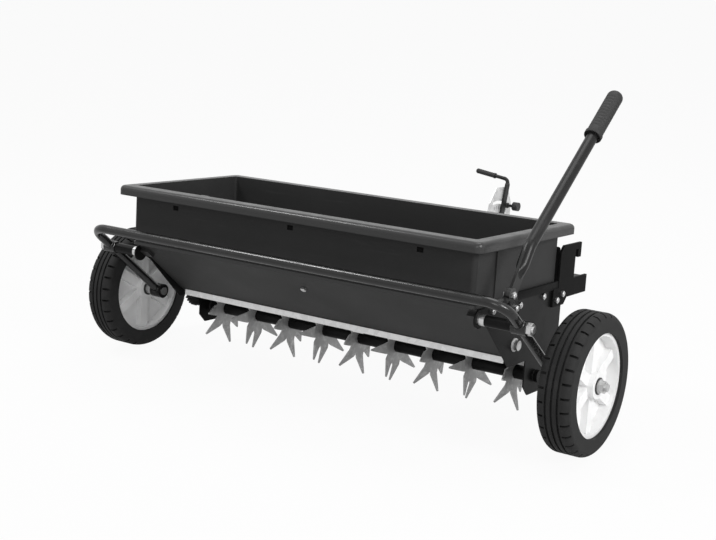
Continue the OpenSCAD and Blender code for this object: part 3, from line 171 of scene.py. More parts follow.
# %% Lamps
def soft_box(name, at, aim, size, watts):
    facing = (Vector(aim) - Vector(at)).to_track_quat("-Z", "Y").to_euler()
    bpy.ops.object.select_all(action="DESELECT")
    bpy.ops.object.light_add(type="AREA", location=at, rotation=facing)
    lamp = bpy.context.object
    lamp.name = name
    lamp.data.shape = "DISK"
    lamp.data.size = size
    lamp.data.energy = watts
    return lamp


hopper_middle = (0.0, -0.45, 0.38)
lamps = [
    soft_box("right_softbox", (4.2, -1.3, 2.4), hopper_middle, size=1.8, watts=135.0),
    soft_box("overhead_softbox", (0.4, 0.4, 4.0), hopper_middle, size=2.6, watts=65.0),
    soft_box("left_highlight", (-1.9, -1.3, 3.0), hopper_middle, size=0.8, watts=42.0),
    soft_box("camera_fill", (2.4, -4.4, 1.9), hopper_middle, size=2.0, watts=34.0),
]
print("lamps:", ", ".join(f"{lamp.name} {lamp.data.energy:.0f} W" for lamp in lamps))

# %% [markdown]
# Every finish starts the same way: one principled shader and the Object coordinates of the piece.
# Object coordinates stay with a piece when its joint moves, so a scuff never slides over the surface.
# A few helpers name what the patterns are: clouds, streaks, a spread from one range to
# another, a mix of greys.

# %% Helpers for finishes
def open_finish(name, metallic=0.0, specular=0.5):
    """A new material, its shader, and a wire that holds Object coordinates."""
    finish = bpy.data.materials.new(name)
    finish.use_nodes = True
    shader = finish.node_tree.nodes["Principled BSDF"]
    shader.inputs["Metallic"].default_value = metallic
    shader.inputs["Specular IOR Level"].default_value = specular
    place = Wire(finish.node_tree).node("ShaderNodeTexCoord", out="Object")
    return finish, shader, place


def feed(shader, socket, value):
    value.tree.links.new(value.socket, shader.inputs[socket])


def cloud(place, size, detail=4.0, uneven=0.55):
    """Soft noise in patches about `size` metres across."""
    return place.node(
        "ShaderNodeTexNoise",
        {},
        {"Vector": place, "Scale": 1.0 / size, "Detail": detail, "Roughness": uneven},
    )


def stretched(place, along):
    """Object coordinates drawn out, so that a pattern becomes streaks."""
    return place.node("ShaderNodeMapping", {}, {"Vector": place, "Scale": along})


def spread(value, low, high, first=0.0, last=1.0):
    """A value from low to high becomes one from first to last, and stops there."""
    return value.node("ShaderNodeMapRange", {"clamp": True}, {0: value, 1: low, 2: high, 3: first, 4: last})


def mix(mask, first, second):
    """The first colour where the mask is 0 and the second where it is 1; a number is a grey."""
    greys = [(c, c, c, 1.0) if isinstance(c, float) else c for c in (first, second)]
    return mask.node("ShaderNodeMix", {"data_type": "RGBA"}, {0: mask, 6: greys[0], 7: greys[1]}, out=2)


def part_of(place, axis):
    """One coordinate, X, Y or Z, of a place."""
    return place.node("ShaderNodeSeparateXYZ", {}, {0: place}, out=axis)


def faces_up(place):
    """1 on a surface that faces up in the piece's own frame, 0 on an upright one."""
    normal = place.node("ShaderNodeTexCoord", out="Normal")
    return spread(part_of(normal, "Z"), 0.35, 0.95)


def relief(height, depth, strength):
    """A bump of that many metres."""
    return height.node("ShaderNodeBump", {}, {"Height": height, "Distance": depth, "Strength": strength})


print("finish helpers ready")

# %% [markdown]
# The hopper is one black moulding with a fine spark-eroded grain, so it is dull but not dead.
# A photograph of grain would do, but noise of a millimetre gives the same sparkle and never repeats.
# Long faint scuffs follow its length, and a trace of pale dust lies on what faces up.
# The rim and the belt come from polished parts of the mould, and a thin clear coat
# there catches a line of light.

# %% Moulded hopper plastic
finish_of = {}
nose_down = math.radians(-6.01878)
axle_y, axle_z = -0.458744, 0.1524
rim_low, rim_full = 0.427, 0.430
belt_low, belt_high, belt_edge = 0.3080, 0.3160, 0.0008


def level_height(place):
    """Height of a point on the machine before it is tipped on its nose, in metres."""
    across = (part_of(place, "Y") - axle_y) * -math.sin(nose_down)
    return across + (part_of(place, "Z") - axle_z) * math.cos(nose_down) + axle_z


moulded, shader, place = open_finish("moulded_hopper", specular=0.09)
grain = cloud(place, 0.0011, detail=2.0)
patches = cloud(place, 0.16, detail=3.0)
scuffs = spread(cloud(stretched(place, (6.0, 60.0, 60.0)), 1.0, detail=5.0, uneven=0.7), 0.60, 0.78)
dust = faces_up(place) * spread(cloud(place, 0.03, detail=5.0, uneven=0.65), 0.42, 0.75, 0.0, 0.55)
height = level_height(place)
rim = spread(height, rim_low, rim_full)
over_belt = spread(height, belt_high - belt_edge, belt_high, 1.0, 0.0)
belt = spread(height, belt_low, belt_low + belt_edge) * over_belt
tone = mix(patches, 0.025, 0.033)
tone = mix(scuffs * 0.35, tone, 0.056)
feed(shader, "Base Color", mix(dust * 0.3, tone, 0.07))
feed(shader, "Roughness", spread(patches, 0.3, 0.7, 0.42, 0.52) + scuffs * 0.10 + dust * 0.12)
feed(shader, "Normal", relief(grain, depth=0.00022, strength=0.55))
shader.inputs["Coat Roughness"].default_value = 0.22
feed(shader, "Coat Weight", (rim + belt) * (0.42 - dust * 0.4))
finish_of["hopper_plastic"] = moulded
print("moulded hopper plastic: grain 1.1 mm, scuffs along the length, polished rim and belt")

# %% [markdown]
# The frame is steel with a black powder coat, which sets with a slight orange peel.
# One coat for all would do, but in the photograph the bail carries bright lines, and the brackets are dark.
# The brackets' flat copy is painted shade: it reflects almost nothing, so they stay as dark as shade makes
# them.
# So one recipe is mixed four times; in each the gloss wanders in patches where hands
# and grass have rubbed.

# %% Powder coats
def powder_coat(name, specular, gloss_rough):
    coat, shader, place = open_finish(name, specular=specular)
    peel = cloud(place, 0.0028, detail=2.0)
    rub = spread(cloud(place, 0.045, detail=5.0, uneven=0.62), 0.5, 0.74)
    dust = faces_up(place) * spread(cloud(place, 0.018, detail=4.0), 0.45, 0.7, 0.0, 0.5)
    feed(shader, "Base Color", mix(dust * 0.3, mix(rub, 0.007, 0.012), 0.045))
    feed(shader, "Roughness", gloss_rough + rub * 0.14 + dust * 0.2)
    feed(shader, "Normal", relief(peel, depth=0.00018, strength=0.5))
    return coat


finish_of["frame_paint"] = powder_coat("dull_powder_coat", specular=0.08, gloss_rough=0.36)
bail_coat = powder_coat("satin_powder_coat", specular=0.42, gloss_rough=0.20)
lever_coat = powder_coat("lever_powder_coat", specular=0.24, gloss_rough=0.32)
# Painted shade: this copy reflects almost nothing, so brackets, arms and flanges render as dark as shade
# would make them.
flat_bracket_coat_painted_shade = powder_coat("flat_powder_coat", specular=0.02, gloss_rough=0.44)
print("powder coats: orange peel 2.8 mm, from flat brackets to a satin bail")

# %% [markdown]
# Hot dipped zinc freezes in flat crystals, the spangle, each a slightly different grey.
# Voronoi cells have just that shape: the colour of a cell is random but even all over it.
# A fine cloud over them breaks up the shine, as weather does.

# %% Galvanised sheet
cells_per_metre = 95.0
dipped, shader, place = open_finish("galvanised_spangle", metallic=0.7)
cells = {"Vector": place, "Scale": cells_per_metre}
crystal = place.node("ShaderNodeTexVoronoi", {"feature": "F1"}, cells, out="Color")
facet = part_of(crystal, "X")
weather = cloud(place, 0.05, detail=5.0, uneven=0.6)
fine = cloud(place, 0.0016, detail=3.0)
feed(shader, "Base Color", mix(weather, mix(facet, 0.60, 0.74), mix(facet, 0.68, 0.80)))
feed(shader, "Roughness", 0.34 + facet * 0.12 + weather * 0.10)
feed(shader, "Normal", relief(fine, depth=0.00008, strength=0.5))
finish_of["galvanised"] = dipped
print("galvanised sheet: spangle of", round(1000 / cells_per_metre), "mm or so")

# %% [markdown]
# The stars are stamped from hot rolled plate, so they are duller and darker than the
# dipped sheet over them.
# One steel for both would be less work, but the photograph shows two clearly different greys.
# Rolling leaves long faint streaks and a patchy scale, and soil has rubbed them bright in places.

# %% Spike steel
rolled, shader, place = open_finish("spike_steel", metallic=0.55, specular=0.4)
scale_patch = cloud(place, 0.028, detail=5.0, uneven=0.62)
streak = cloud(stretched(place, (30.0, 320.0, 30.0)), 1.0, detail=3.0)
rubbed = spread(cloud(place, 0.012, detail=4.0, uneven=0.6), 0.5, 0.72)
feed(shader, "Base Color", mix(rubbed * 0.6, mix(scale_patch, 0.36, 0.52), 0.68))
feed(shader, "Roughness", 0.52 - rubbed * 0.14 + streak * 0.08)
feed(shader, "Normal", relief(streak + scale_patch, depth=0.00012, strength=0.5))
print("spike steel: rolled streaks, scale and rubbed points")

# %% [markdown]
# Bolts, nuts and axles are bright zinc, drawn or turned, so their shine runs in fine lines.
# The lines of a turned shaft go round it, and streaks that change only along X are just
# that on this machine.
# A dull film in patches keeps them from looking like chrome.

# %% Bright zinc
bright, shader, place = open_finish("bright_zinc", metallic=1.0)
turned = cloud(stretched(place, (2200.0, 40.0, 40.0)), 1.0, detail=2.0)
film = spread(cloud(place, 0.012, detail=4.0, uneven=0.6), 0.45, 0.7)
feed(shader, "Base Color", mix(film, 0.60, 0.44))
feed(shader, "Roughness", 0.22 + turned * 0.14 + film * 0.16)
feed(shader, "Normal", relief(turned, depth=0.00004, strength=0.4))
finish_of["zinc"] = bright
print("bright zinc: turned lines and film")

# %% [markdown]
# The tyres are solid black rubber: dull, with fine rings on the sidewalls from the mould.
# The rings need the distance from the axle, which comes from the Y and Z of a point.
# Dust is pale and lies in patches, so a cloud decides where it is.

# %% Tyre rubber
ring_pitch, sidewall_in, sidewall_out = 0.0032, 0.136, 0.141


def from_axle(place):
    """Distance of a point from the wheels' common axis."""
    across = part_of(place, "Y") - axle_y
    up = part_of(place, "Z") - axle_z
    return (across * across + up * up) ** 0.5


tread, shader, place = open_finish("tyre_rubber", specular=0.22)
radius = from_axle(place)
rings = radius.node("ShaderNodeMath", {"operation": "SINE"}, {0: radius * (2 * math.pi / ring_pitch)})
sidewall = spread(radius, sidewall_in, sidewall_out, 1.0, 0.0)
speckle = cloud(place, 0.004, detail=5.0, uneven=0.65)
dust = spread(cloud(place, 0.022, detail=5.0, uneven=0.6), 0.45, 0.72)
feed(shader, "Base Color", mix(dust * 0.4, mix(speckle, 0.009, 0.016), 0.034))
feed(shader, "Roughness", 0.62 + speckle * 0.16 + dust * 0.08)
feed(shader, "Normal", relief(speckle * 0.8 + rings * sidewall * 0.12, depth=0.0006, strength=0.5))
finish_of["tyre"] = tread
print("tyre rubber: mould rings", ring_pitch, "m apart inside a radius of", sidewall_out, "m")

# %% [markdown]
# The wheels are white moulded plastic; the photograph shows broad ribs with soft grey hollows.
# Their ribs are in the solid, so the finish only adds what a yard leaves: grey near the
# tyre and round the nut.
# The distance from the axle drives both, and a cloud keeps their edges ragged.

# %% White wheels
tyre_soil, tyre_edge = 0.103, 0.116
nut_edge, nut_soil = 0.022, 0.042
wheel, shader, place = open_finish("white_wheel", specular=0.4)
radius = from_axle(place)
ragged = cloud(place, 0.02, detail=5.0, uneven=0.6)
near_tyre = spread(radius + ragged * 0.012, tyre_soil, tyre_edge)
near_nut = spread(radius + ragged * 0.016, nut_edge, nut_soil, 1.0, 0.0)
soil = near_tyre * 0.30 + near_nut * 0.22 + spread(ragged, 0.55, 0.8, 0.0, 0.25)
feed(shader, "Base Color", mix(soil, 0.82, 0.50))
feed(shader, "Roughness", 0.38 + soil * 0.35)
feed(shader, "Normal", relief(cloud(place, 0.0022, detail=3.0), depth=0.00012, strength=0.5))
finish_of["hub_white"] = wheel
print("white wheels: soil near the tyre and the nut")

# %% [markdown]
# Nylon bushes are off-white with a satin surface, and duller than the plastic of the wheels.
# They could share the wheels' finish, but soil near a tyre means nothing on a bush.
# A faint mottle is enough at their size, and grease darkens them in patches.

# %% Nylon
nylon, shader, place = open_finish("natural_nylon", specular=0.45)
mottle = cloud(place, 0.009, detail=4.0)
grease = spread(cloud(place, 0.02, detail=4.0, uneven=0.6), 0.52, 0.72)
feed(shader, "Base Color", mix(grease * 0.6, mix(mottle, 0.62, 0.72), 0.34))
feed(shader, "Roughness", 0.46 - grease * 0.16)
feed(shader, "Normal", relief(mottle, depth=0.0002, strength=0.4))
finish_of["nylon"] = nylon
print("nylon: mottle and grease")

# %% [markdown]
# Two more blacks: the dip-moulded grips are soft and dull, and knobs and pads are
# harder and a little glossier.
# Both could share one black, but a hand polishes a grip in patches, and a moulding
# shows fine flow lines.
# So each gets its own pattern.

# %% Soft grip and hard black plastic
dipped_grip, shader, place = open_finish("soft_grip", specular=0.3)
skin = cloud(place, 0.0015, detail=3.0)
polished = spread(cloud(place, 0.03, detail=4.0, uneven=0.6), 0.45, 0.7)
feed(shader, "Base Color", mix(polished, 0.022, 0.015))
feed(shader, "Roughness", 0.66 - polished * 0.2)
feed(shader, "Normal", relief(skin, depth=0.0003, strength=0.5))
finish_of["rubber"] = dipped_grip

hard_black, shader, place = open_finish("hard_black_moulding", specular=0.36)
flow = cloud(stretched(place, (30.0, 30.0, 240.0)), 1.0, detail=3.0)
feed(shader, "Base Color", mix(flow, 0.016, 0.027))
feed(shader, "Roughness", 0.38 + flow * 0.16)
feed(shader, "Normal", relief(cloud(place, 0.0012, detail=2.0), depth=0.00015, strength=0.5))
finish_of["black_plastic"] = hard_black
print("soft grip and hard black moulding")

# %% [markdown]
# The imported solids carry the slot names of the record, so one loop gives each its finish.
# A slot that had no finish would stop the loop with its name, so none is left bare.
# Stars, bail, levers, brackets and gears share a slot with others but get their own finish.
# The photograph shows only black where the gears are, so they are of black nylon; the
# solids aren't touched.

# %% Finish every solid
stars = 9
own_finish = {f"star_{number}": rolled for number in range(1, stars + 1)}
own_finish.update({"wheel_bail": bail_coat, "lift_lever": lever_coat, "flow_lever": lever_coat})
# Painted shade: the tow brackets take the near-mirrorless flat copy of the powder coat.
own_finish.update({"left_tow_bracket": flat_bracket_coat_painted_shade, "right_tow_bracket": flat_bracket_coat_painted_shade})
own_finish.update({name: hard_black for name in ("star_gear", "idler_gear", "agitator_gear")})
dressed = {}
for name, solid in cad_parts.items():
    for holder in solid.material_slots:
        slot_name = holder.material.name.split(".")[0]
        holder.material = own_finish.get(name, finish_of[slot_name])
        dressed.setdefault(holder.material.name, []).append(name)
for finish_name, names in sorted(dressed.items()):
    print(finish_name, len(names), "solids")

# %% [markdown]
# The machine was drawn level and then set down on its tyres and the nose of its hitch,
# tipped by six degrees.
# New pieces are easiest to place on the level drawing, as their maker measures them.
# One matrix does the setting down, and a length in millimetres becomes metres on the way.

# %% From the level drawing to the floor
mm = 0.001
middle_y, axle_height = -axle_y / mm, axle_z / mm
both_sides = (-1, 1)


def move(x, y, z):
    return Matrix.Translation((x * mm, y * mm, z * mm))


def move_side(side, at):
    """A move to a place on the right of the machine, or to its mirror image on the left."""
    return move(side * at[0], *at[1:])


def turn(degrees, axis):
    return Matrix.Rotation(math.radians(degrees), 4, axis)


set_down = move(0, -middle_y, axle_height) @ Matrix.Rotation(nose_down, 4, "X") @ move(0, 0, -axle_height)
print("axle on the floor plan:", tuple(round(v, 4) for v in set_down @ Vector((0, 0, axle_height * mm))))

# %% [markdown]
# Hand work starts with picking: an operator acts on whatever is selected.
# With no window there is no mouse, so vertices, edges and faces are picked by where
# they are, in millimetres.
# The same few lines then serve every piece below.

# %% Picking and finishing by hand
hair = 0.001


def begin(name, add, **values):
    """Adds a primitive with everything else deselected, and opens it in edit mode."""
    bpy.ops.object.select_all(action="DESELECT")
    add(**values)
    piece = bpy.context.object
    piece.name = name
    bpy.ops.object.transform_apply(location=True, rotation=True, scale=True)
    bpy.ops.object.mode_set(mode="EDIT")
    return piece


def rod(name, sides, r, long):
    """Begins a piece as a cylinder of so many millimetres that stands on the origin along Z."""
    return begin(
        name,
        bpy.ops.mesh.primitive_cylinder_add,
        vertices=sides,
        radius=r * mm,
        depth=long * mm,
        location=(0.0, 0.0, long * mm / 2),
    )


def block(name, x, y, z):
    """Begins a piece as a cube drawn out to so many millimetres."""
    return begin(name, bpy.ops.mesh.primitive_cube_add, size=1.0, scale=(x * mm, y * mm, z * mm))


def pick(piece, kind, wanted):
    """Selects the vertices, edges or faces whose middle, in millimetres, passes the test."""
    bpy.ops.mesh.select_mode(type=kind)
    bpy.ops.mesh.select_all(action="DESELECT")
    mesh = bmesh.from_edit_mesh(piece.data)
    items = {"VERT": mesh.verts, "EDGE": mesh.edges, "FACE": mesh.faces}[kind]
    for item in items:
        corners = [item.co] if kind == "VERT" else [v.co for v in item.verts]
        if wanted(sum(corners, Vector()) / len(corners) / mm):
            item.select_set(True)
    mesh.select_flush_mode()
    bmesh.update_edit_mesh(piece.data)


def ring_cut(z):
    """Cuts the whole piece once round, so many millimetres up."""
    bpy.ops.mesh.select_all(action="SELECT")
    bpy.ops.mesh.bisect(plane_co=(0.0, 0.0, z * mm), plane_no=(0.0, 0.0, 1.0))


def draw_in(x_share, y_share):
    """Scales what is picked towards the Z axis, or away from it."""
    bpy.ops.transform.resize(value=(x_share, y_share, 1.0), center_override=(0.0, 0.0, 0.0))


def leave():
    """Turns every face outwards and leaves edit mode."""
    bpy.ops.mesh.select_all(action="SELECT")
    bpy.ops.mesh.normals_make_consistent(inside=False)
    bpy.ops.object.mode_set(mode="OBJECT")


def settle(piece, place, body, slot_name, finish=None, sharp=35.0):
    """Puts a piece in its place, smooths it, gives it its slot's finish or its own, and lets it ride."""
    piece.matrix_world = place
    bpy.ops.object.transform_apply(location=True, rotation=True, scale=True)
    bpy.ops.object.shade_smooth_by_angle(angle=math.radians(sharp))
    piece.data.materials.clear()
    piece.data.materials.append(finish or finish_of[slot_name])
    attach(piece, body)
    return piece


def lay_out(shape, places, slot_name, finish=None, sharp=35.0):
    """Puts a copy of a shape, with its own mesh, at every (body, place), and drops the shape itself."""
    leave()
    made = []
    for number, (body, place) in enumerate(places, 1):
        bpy.ops.object.select_all(action="DESELECT")
        shape.select_set(True)
        bpy.context.view_layer.objects.active = shape
        bpy.ops.object.duplicate()
        copy = bpy.context.object
        copy.name = f"{shape.name}_{number}"
        made.append(settle(copy, place, body, slot_name, finish, sharp))
    bpy.data.objects.remove(shape)
    return made


print("picking ready")

# %% [markdown]
# The bail's tubes are welded into their bosses, and the tongue to its bar; a weld is a
# row of overlapping scales.
# A plain torus or bar would look like a rubber seal, so every third ring of it is drawn
# in to part the scales.
# Where a tube meets a round boss the bead dips at its sides, and five small moves give it that saddle.

# %% Weld beads round the bail's tubes
leg_deg, leg_x = -37.5865, 565.0
pivot_at, axle_at = (-171.62, 284.49), (0.0, 152.4)
tube_r, axle_boss_r, pivot_boss_r = 10.65, 18.0, 15.0
sleeve_r, sleeve_x = 12.0, 549.0
bead_r, bead_sides = 2.4, 10
radius_per_scale, proud_share, valley_share = 1.3, 0.3, 0.28
saddle_shares = (0.3, 0.5, 0.7, 0.85, 0.97)


def ring_bead(name, around, boss_r=None):
    """A scaled bead round a tube along Z, bent to a boss along X and ahead of it where a radius is given."""
    cuts = 3 * round(around / radius_per_scale)
    piece = begin(
        name,
        bpy.ops.mesh.primitive_torus_add,
        major_radius=(around + proud_share * bead_r) * mm,
        minor_radius=bead_r * mm,
        major_segments=cuts,
        minor_segments=bead_sides,
    )
    pick(piece, "VERT", lambda m: round(math.atan2(m.y, m.x) / (2 * math.pi) * cuts) % 3 == 0)
    bpy.ops.transform.shrink_fatten(value=-valley_share * bead_r * mm)
    lowered = 0.0
    for share in saddle_shares if boss_r else ():
        dip = boss_r - math.sqrt(boss_r**2 - (share * around) ** 2)
        pick(piece, "VERT", lambda m: abs(m.y) > share * around)
        bpy.ops.transform.translate(value=(0.0, 0.0, (dip - lowered) * mm))
        lowered = dip
    return piece


def on_leg(side, at, ahead, flip=0.0):
    """A place some way ahead of a point on the bail's leg, facing the axle or, flipped, the rear bar."""
    return set_down @ move(side * leg_x, *at) @ turn(leg_deg - 90.0 + flip, "X") @ move(0.0, 0.0, ahead)


axle_beads = lay_out(
    ring_bead("axle_boss_weld", tube_r, axle_boss_r),
    [("wheel_frame", on_leg(side, axle_at, -axle_boss_r)) for side in both_sides],
    "frame_paint",
    bail_coat,
)
pivot_beads = lay_out(
    ring_bead("pivot_boss_weld", tube_r, pivot_boss_r),
    [
        ("wheel_frame", on_leg(side, pivot_at, -pivot_boss_r, flip))
        for side in both_sides
        for flip in (0.0, 180.0)
    ],
    "frame_paint",
    bail_coat,
)
sleeve_beads = lay_out(
    ring_bead("sleeve_weld", sleeve_r),
    [("wheel_frame", set_down @ move(side * sleeve_x, *pivot_at) @ turn(90.0, "Y")) for side in both_sides],
    "frame_paint",
    bail_coat,
)
print("ring welds:", len(axle_beads) + len(pivot_beads) + len(sleeve_beads))

# %% [markdown]
# The straight welds run along the lever's gusset and where the tongue and its side
# plates meet the crossbar.
# They could be cut from the ring beads, but a bar with rings cut round it gives the
# same scales in a line.
# Both ends are drawn in, because a weld starts and stops in a small crater.

# %% Straight weld beads
scale_per_r, waist_share, crater_share = 1.5, 0.74, 0.55
gusset_long, gusset_ahead, gusset_x, gusset_side = 42.0, -62.0, 556.4, 7.0
tongue_deg, tongue_foot, tongue_bead_r = 10.35, (313.0, 298.0), 3.0
top_weld_long, top_weld_at = 36.0, (-18.0, 314.0, 317.2)
side_weld_long, side_weld_at = 34.0, (19.4, 313.8, 281.0)
plate_weld_long, plate_weld_at, plate_bead_r = 84.0, (19.6, 3.0, 3.2), 2.2


def line_bead(name, long, r):
    """A scaled bead from the origin along Z."""
    cuts = 3 * round(long / (scale_per_r * r))
    step = long / cuts
    piece = rod(name, 12, r, long)
    for k in range(1, cuts):
        ring_cut(k * step)
    pick(piece, "VERT", lambda m: round(m.z / step) % 3 == 0)
    draw_in(waist_share, waist_share)
    pick(piece, "VERT", lambda m: m.z < hair or m.z > long - hair)
    draw_in(crater_share, crater_share)
    return piece


on_gusset = on_leg(1, pivot_at, gusset_ahead) @ move(gusset_x - leg_x, gusset_side, 0.0)
gusset_bead = lay_out(
    line_bead("gusset_weld", gusset_long, bead_r),
    [("wheel_frame", on_gusset)],
    "frame_paint",
)
top_bead = lay_out(
    line_bead("tongue_top_weld", top_weld_long, tongue_bead_r),
    [("chassis", set_down @ move(*top_weld_at) @ turn(90.0, "Y"))],
    "frame_paint",
)
side_beads = lay_out(
    line_bead("tongue_side_weld", side_weld_long, tongue_bead_r),
    [("chassis", set_down @ move_side(side, side_weld_at)) for side in both_sides],
    "frame_paint",
)
on_tongue = set_down @ move(0.0, *tongue_foot) @ turn(-tongue_deg, "X")
plate_beads = lay_out(
    line_bead("tongue_plate_weld", plate_weld_long, plate_bead_r),
    [("chassis", on_tongue @ move_side(side, plate_weld_at) @ turn(-90.0, "X")) for side in both_sides],
    "frame_paint",
)
print("straight welds:", len(gusset_bead) + len(top_bead) + len(side_beads) + len(plate_beads))

# %% [markdown]
# A flat arm of each tow bracket runs back along the hopper's belt, and one more bolt
# holds its rear end.
# It is a plain strip, but a real one has a sheared round end and edges dulled by paint.
# So a cube is drawn out to size, its rear corners are rounded over, and both faces are
# set in a little and raised.

# %% Arms of the tow brackets
arm_rear, arm_front = -62.0, 176.0
arm_high, arm_thick = 18.0, 4.4
arm_long = arm_front - arm_rear
arm_mid = (473.4, (arm_rear + arm_front) / 2, 312.0)
arm_round_share, arm_edge, arm_raise = 0.47, 1.0, 0.6


def bracket_arm(name):
    piece = block(name, arm_thick, arm_long, arm_high)
    pick(piece, "EDGE", lambda m: m.y < hair - arm_long / 2 and abs(m.x) < hair)
    bpy.ops.mesh.bevel(offset=arm_round_share * arm_high * mm, segments=8, affect="EDGES")
    for side in both_sides:
        pick(piece, "FACE", lambda m: side * m.x > arm_thick / 2 - hair)
        bpy.ops.mesh.inset(thickness=arm_edge * mm)
        bpy.ops.transform.translate(value=(side * arm_raise * mm, 0.0, 0.0))
    return piece


# Painted shade: the arms take the brackets' near-mirrorless flat coat, which keeps them dark.
arms = lay_out(
    bracket_arm("bracket_arm"),
    [
        ("chassis", set_down @ move_side(side, arm_mid) @ turn(90.0 - side * 90.0, "Y"))
        for side in both_sides
    ],
    "frame_paint",
    flat_bracket_coat_painted_shade,
)
print("bracket arms:", len(arms), "of", round(arm_long), "mm")

# %% [markdown]
# Behind its upright each bracket has a flange that lies on the hopper's front wall, so
# no light shows past the corner.
# It could be one sheet bent with the bracket, but a plate that meets the bracket's
# inner face looks the same.
# A cube is drawn out to the plate, its corners are rounded, and its front face is set
# in a little and raised.

# %% Flanges of the tow brackets
flange_in, flange_out = 438.0, 471.8
flange_low, flange_high = 318.0, 397.0
flange_y, flange_thick = 175.6, 3.6
flange_round, flange_edge, flange_raise = 5.0, 0.9, 0.5


def bracket_flange(name):
    piece = block(name, flange_out - flange_in, flange_thick, flange_high - flange_low)
    pick(piece, "EDGE", lambda m: abs(m.y) < hair)
    bpy.ops.mesh.bevel(offset=flange_round * mm, segments=5, affect="EDGES")
    pick(piece, "FACE", lambda m: m.y > flange_thick / 2 - hair)
    bpy.ops.mesh.inset(thickness=flange_edge * mm)
    bpy.ops.transform.translate(value=(0.0, flange_raise * mm, 0.0))
    return piece


flange_mid = ((flange_in + flange_out) / 2, flange_y, (flange_low + flange_high) / 2)
# Painted shade: the flanges take the brackets' near-mirrorless flat coat, which keeps them dark.
flanges = lay_out(
    bracket_flange("bracket_flange"),
    [("chassis", set_down @ move_side(side, flange_mid)) for side in both_sides],
    "frame_paint",
    flat_bracket_coat_painted_shade,
)
print("bracket flanges:", len(flanges))

# %% [markdown]
# Three small windows under the rim show black in the photograph, though light would
# fall through an open hole.
# A soft plug fills each; painting the wall dark there would be quicker, but would show from the side.
# A cube of the window's size gets a sunk outer face with a raised thumb button.

# %% Plugs of the rear windows
plug_rubber, shader, place = open_finish("plug_rubber", specular=0.05)
bloom = cloud(place, 0.004, detail=4.0, uneven=0.6)
feed(shader, "Base Color", mix(bloom, 0.004, 0.009))
feed(shader, "Roughness", 0.68 + bloom * 0.2)
feed(shader, "Normal", relief(bloom, depth=0.0002, strength=0.5))
window_wide, window_high = 16.0, 11.0
wall_rear, wall_thick = -198.5, 3.5
window_x, window_y, window_z = 336.02, wall_rear + wall_thick / 2, 411.0
plug_edge, plug_sunk, button_in, button_up = 1.2, 1.6, 2.2, 1.0


def window_plug(name):
    piece = block(name, window_wide, wall_thick, window_high)
    pick(piece, "FACE", lambda m: m.y < hair - wall_thick / 2)
    bpy.ops.mesh.inset(thickness=plug_edge * mm)
    bpy.ops.mesh.extrude_region_move(TRANSFORM_OT_translate={"value": (0.0, plug_sunk * mm, 0.0)})
    bpy.ops.mesh.inset(thickness=button_in * mm)
    bpy.ops.mesh.extrude_region_move(TRANSFORM_OT_translate={"value": (0.0, -button_up * mm, 0.0)})
    return piece


plugs = lay_out(
    window_plug("window_plug"),
    [("chassis", set_down @ move(x, window_y, window_z)) for x in (-window_x, 0.0, window_x)],
    "rubber",
    plug_rubber,
)
print("window plugs:", len(plugs))

# %% [markdown]
# An axle's end stands a few threads out of its nut, and so do the pivots, and bare rods
# would look unfinished.
# Grooves cut round would do from afar, but a real thread climbs, so one small triangle
# is swept up a screw line.
# The sweep leaves two open ends, which are filled before the thread is put on.

# %% Threads
crest_share, thread_steps, thread_sharp = 0.42, 28, 60.0
axle_thread_x, axle_thread_r, axle_pitch = 684.1, 7.95, 2.0
stud_thread_x, stud_thread_r, stud_pitch = 592.9, 6.95, 1.5


def thread(name, r, pitch, turns):
    piece = begin(
        name,
        bpy.ops.mesh.primitive_circle_add,
        vertices=3,
        radius=crest_share * pitch * mm,
        location=(r * mm, 0.0, 0.0),
        rotation=(math.pi / 2, math.pi / 2, 0.0),
    )
    bpy.ops.object.mode_set(mode="OBJECT")
    climb = piece.modifiers.new("climb", "SCREW")
    climb.axis = "Z"
    climb.screw_offset = pitch * mm
    climb.iterations = turns
    climb.steps = climb.render_steps = thread_steps
    bpy.ops.object.modifier_apply(modifier=climb.name)
    bpy.ops.object.mode_set(mode="EDIT")
    bpy.ops.mesh.select_all(action="SELECT")
    bpy.ops.mesh.remove_doubles(threshold=0.1 * hair * mm)
    bpy.ops.mesh.fill_holes(sides=3)
    return piece


def out_of_end(x, y, z):
    """A place on the right or left of the machine, with Z pointing away from its middle."""
    return set_down @ move(x, y, z) @ turn(math.copysign(90.0, x), "Y")


axle_threads = lay_out(
    thread("axle_thread", axle_thread_r, axle_pitch, 2),
    [("wheel_frame", out_of_end(side * axle_thread_x, *axle_at)) for side in both_sides],
    "zinc",
    sharp=thread_sharp,
)
stud_threads = lay_out(
    thread("pivot_thread", stud_thread_r, stud_pitch, 1),
    [("chassis", out_of_end(side * stud_thread_x, *pivot_at)) for side in both_sides],
    "zinc",
    sharp=thread_sharp,
)
print("threads:", len(axle_threads) + len(stud_threads))

# %% [markdown]
# The heads of the common bolts are forged with a washer face and a low dome that
# catches a round highlight.
# The solids have plain hexagons, so each gets a dome of its own on top.
# A short cylinder whose upper edge is rounded over in many steps is that dome, and one
# is copied to every head.

# %% Shapes of a bolt head
dome_round_share, dome_flat_share, dome_rise_share = 0.9, 0.45, 0.25
chamfer_share = 0.16


def bolt_dome(name, r, high):
    piece = rod(name, 32, r, high)
    pick(piece, "EDGE", lambda m: m.z > high - hair)
    bpy.ops.mesh.bevel(offset=dome_round_share * high * mm, segments=5, affect="EDGES")
    pick(piece, "FACE", lambda m: m.z > high - hair)
    bpy.ops.mesh.inset(thickness=dome_flat_share * r * mm)
    bpy.ops.transform.translate(value=(0.0, 0.0, dome_rise_share * high * mm))
    return piece


def hex_head(name, r, high):
    piece = rod(name, 6, r, high)
    pick(piece, "EDGE", lambda m: m.z > high - hair)
    bpy.ops.mesh.bevel(offset=chamfer_share * high * mm, segments=2, affect="EDGES")
    return piece


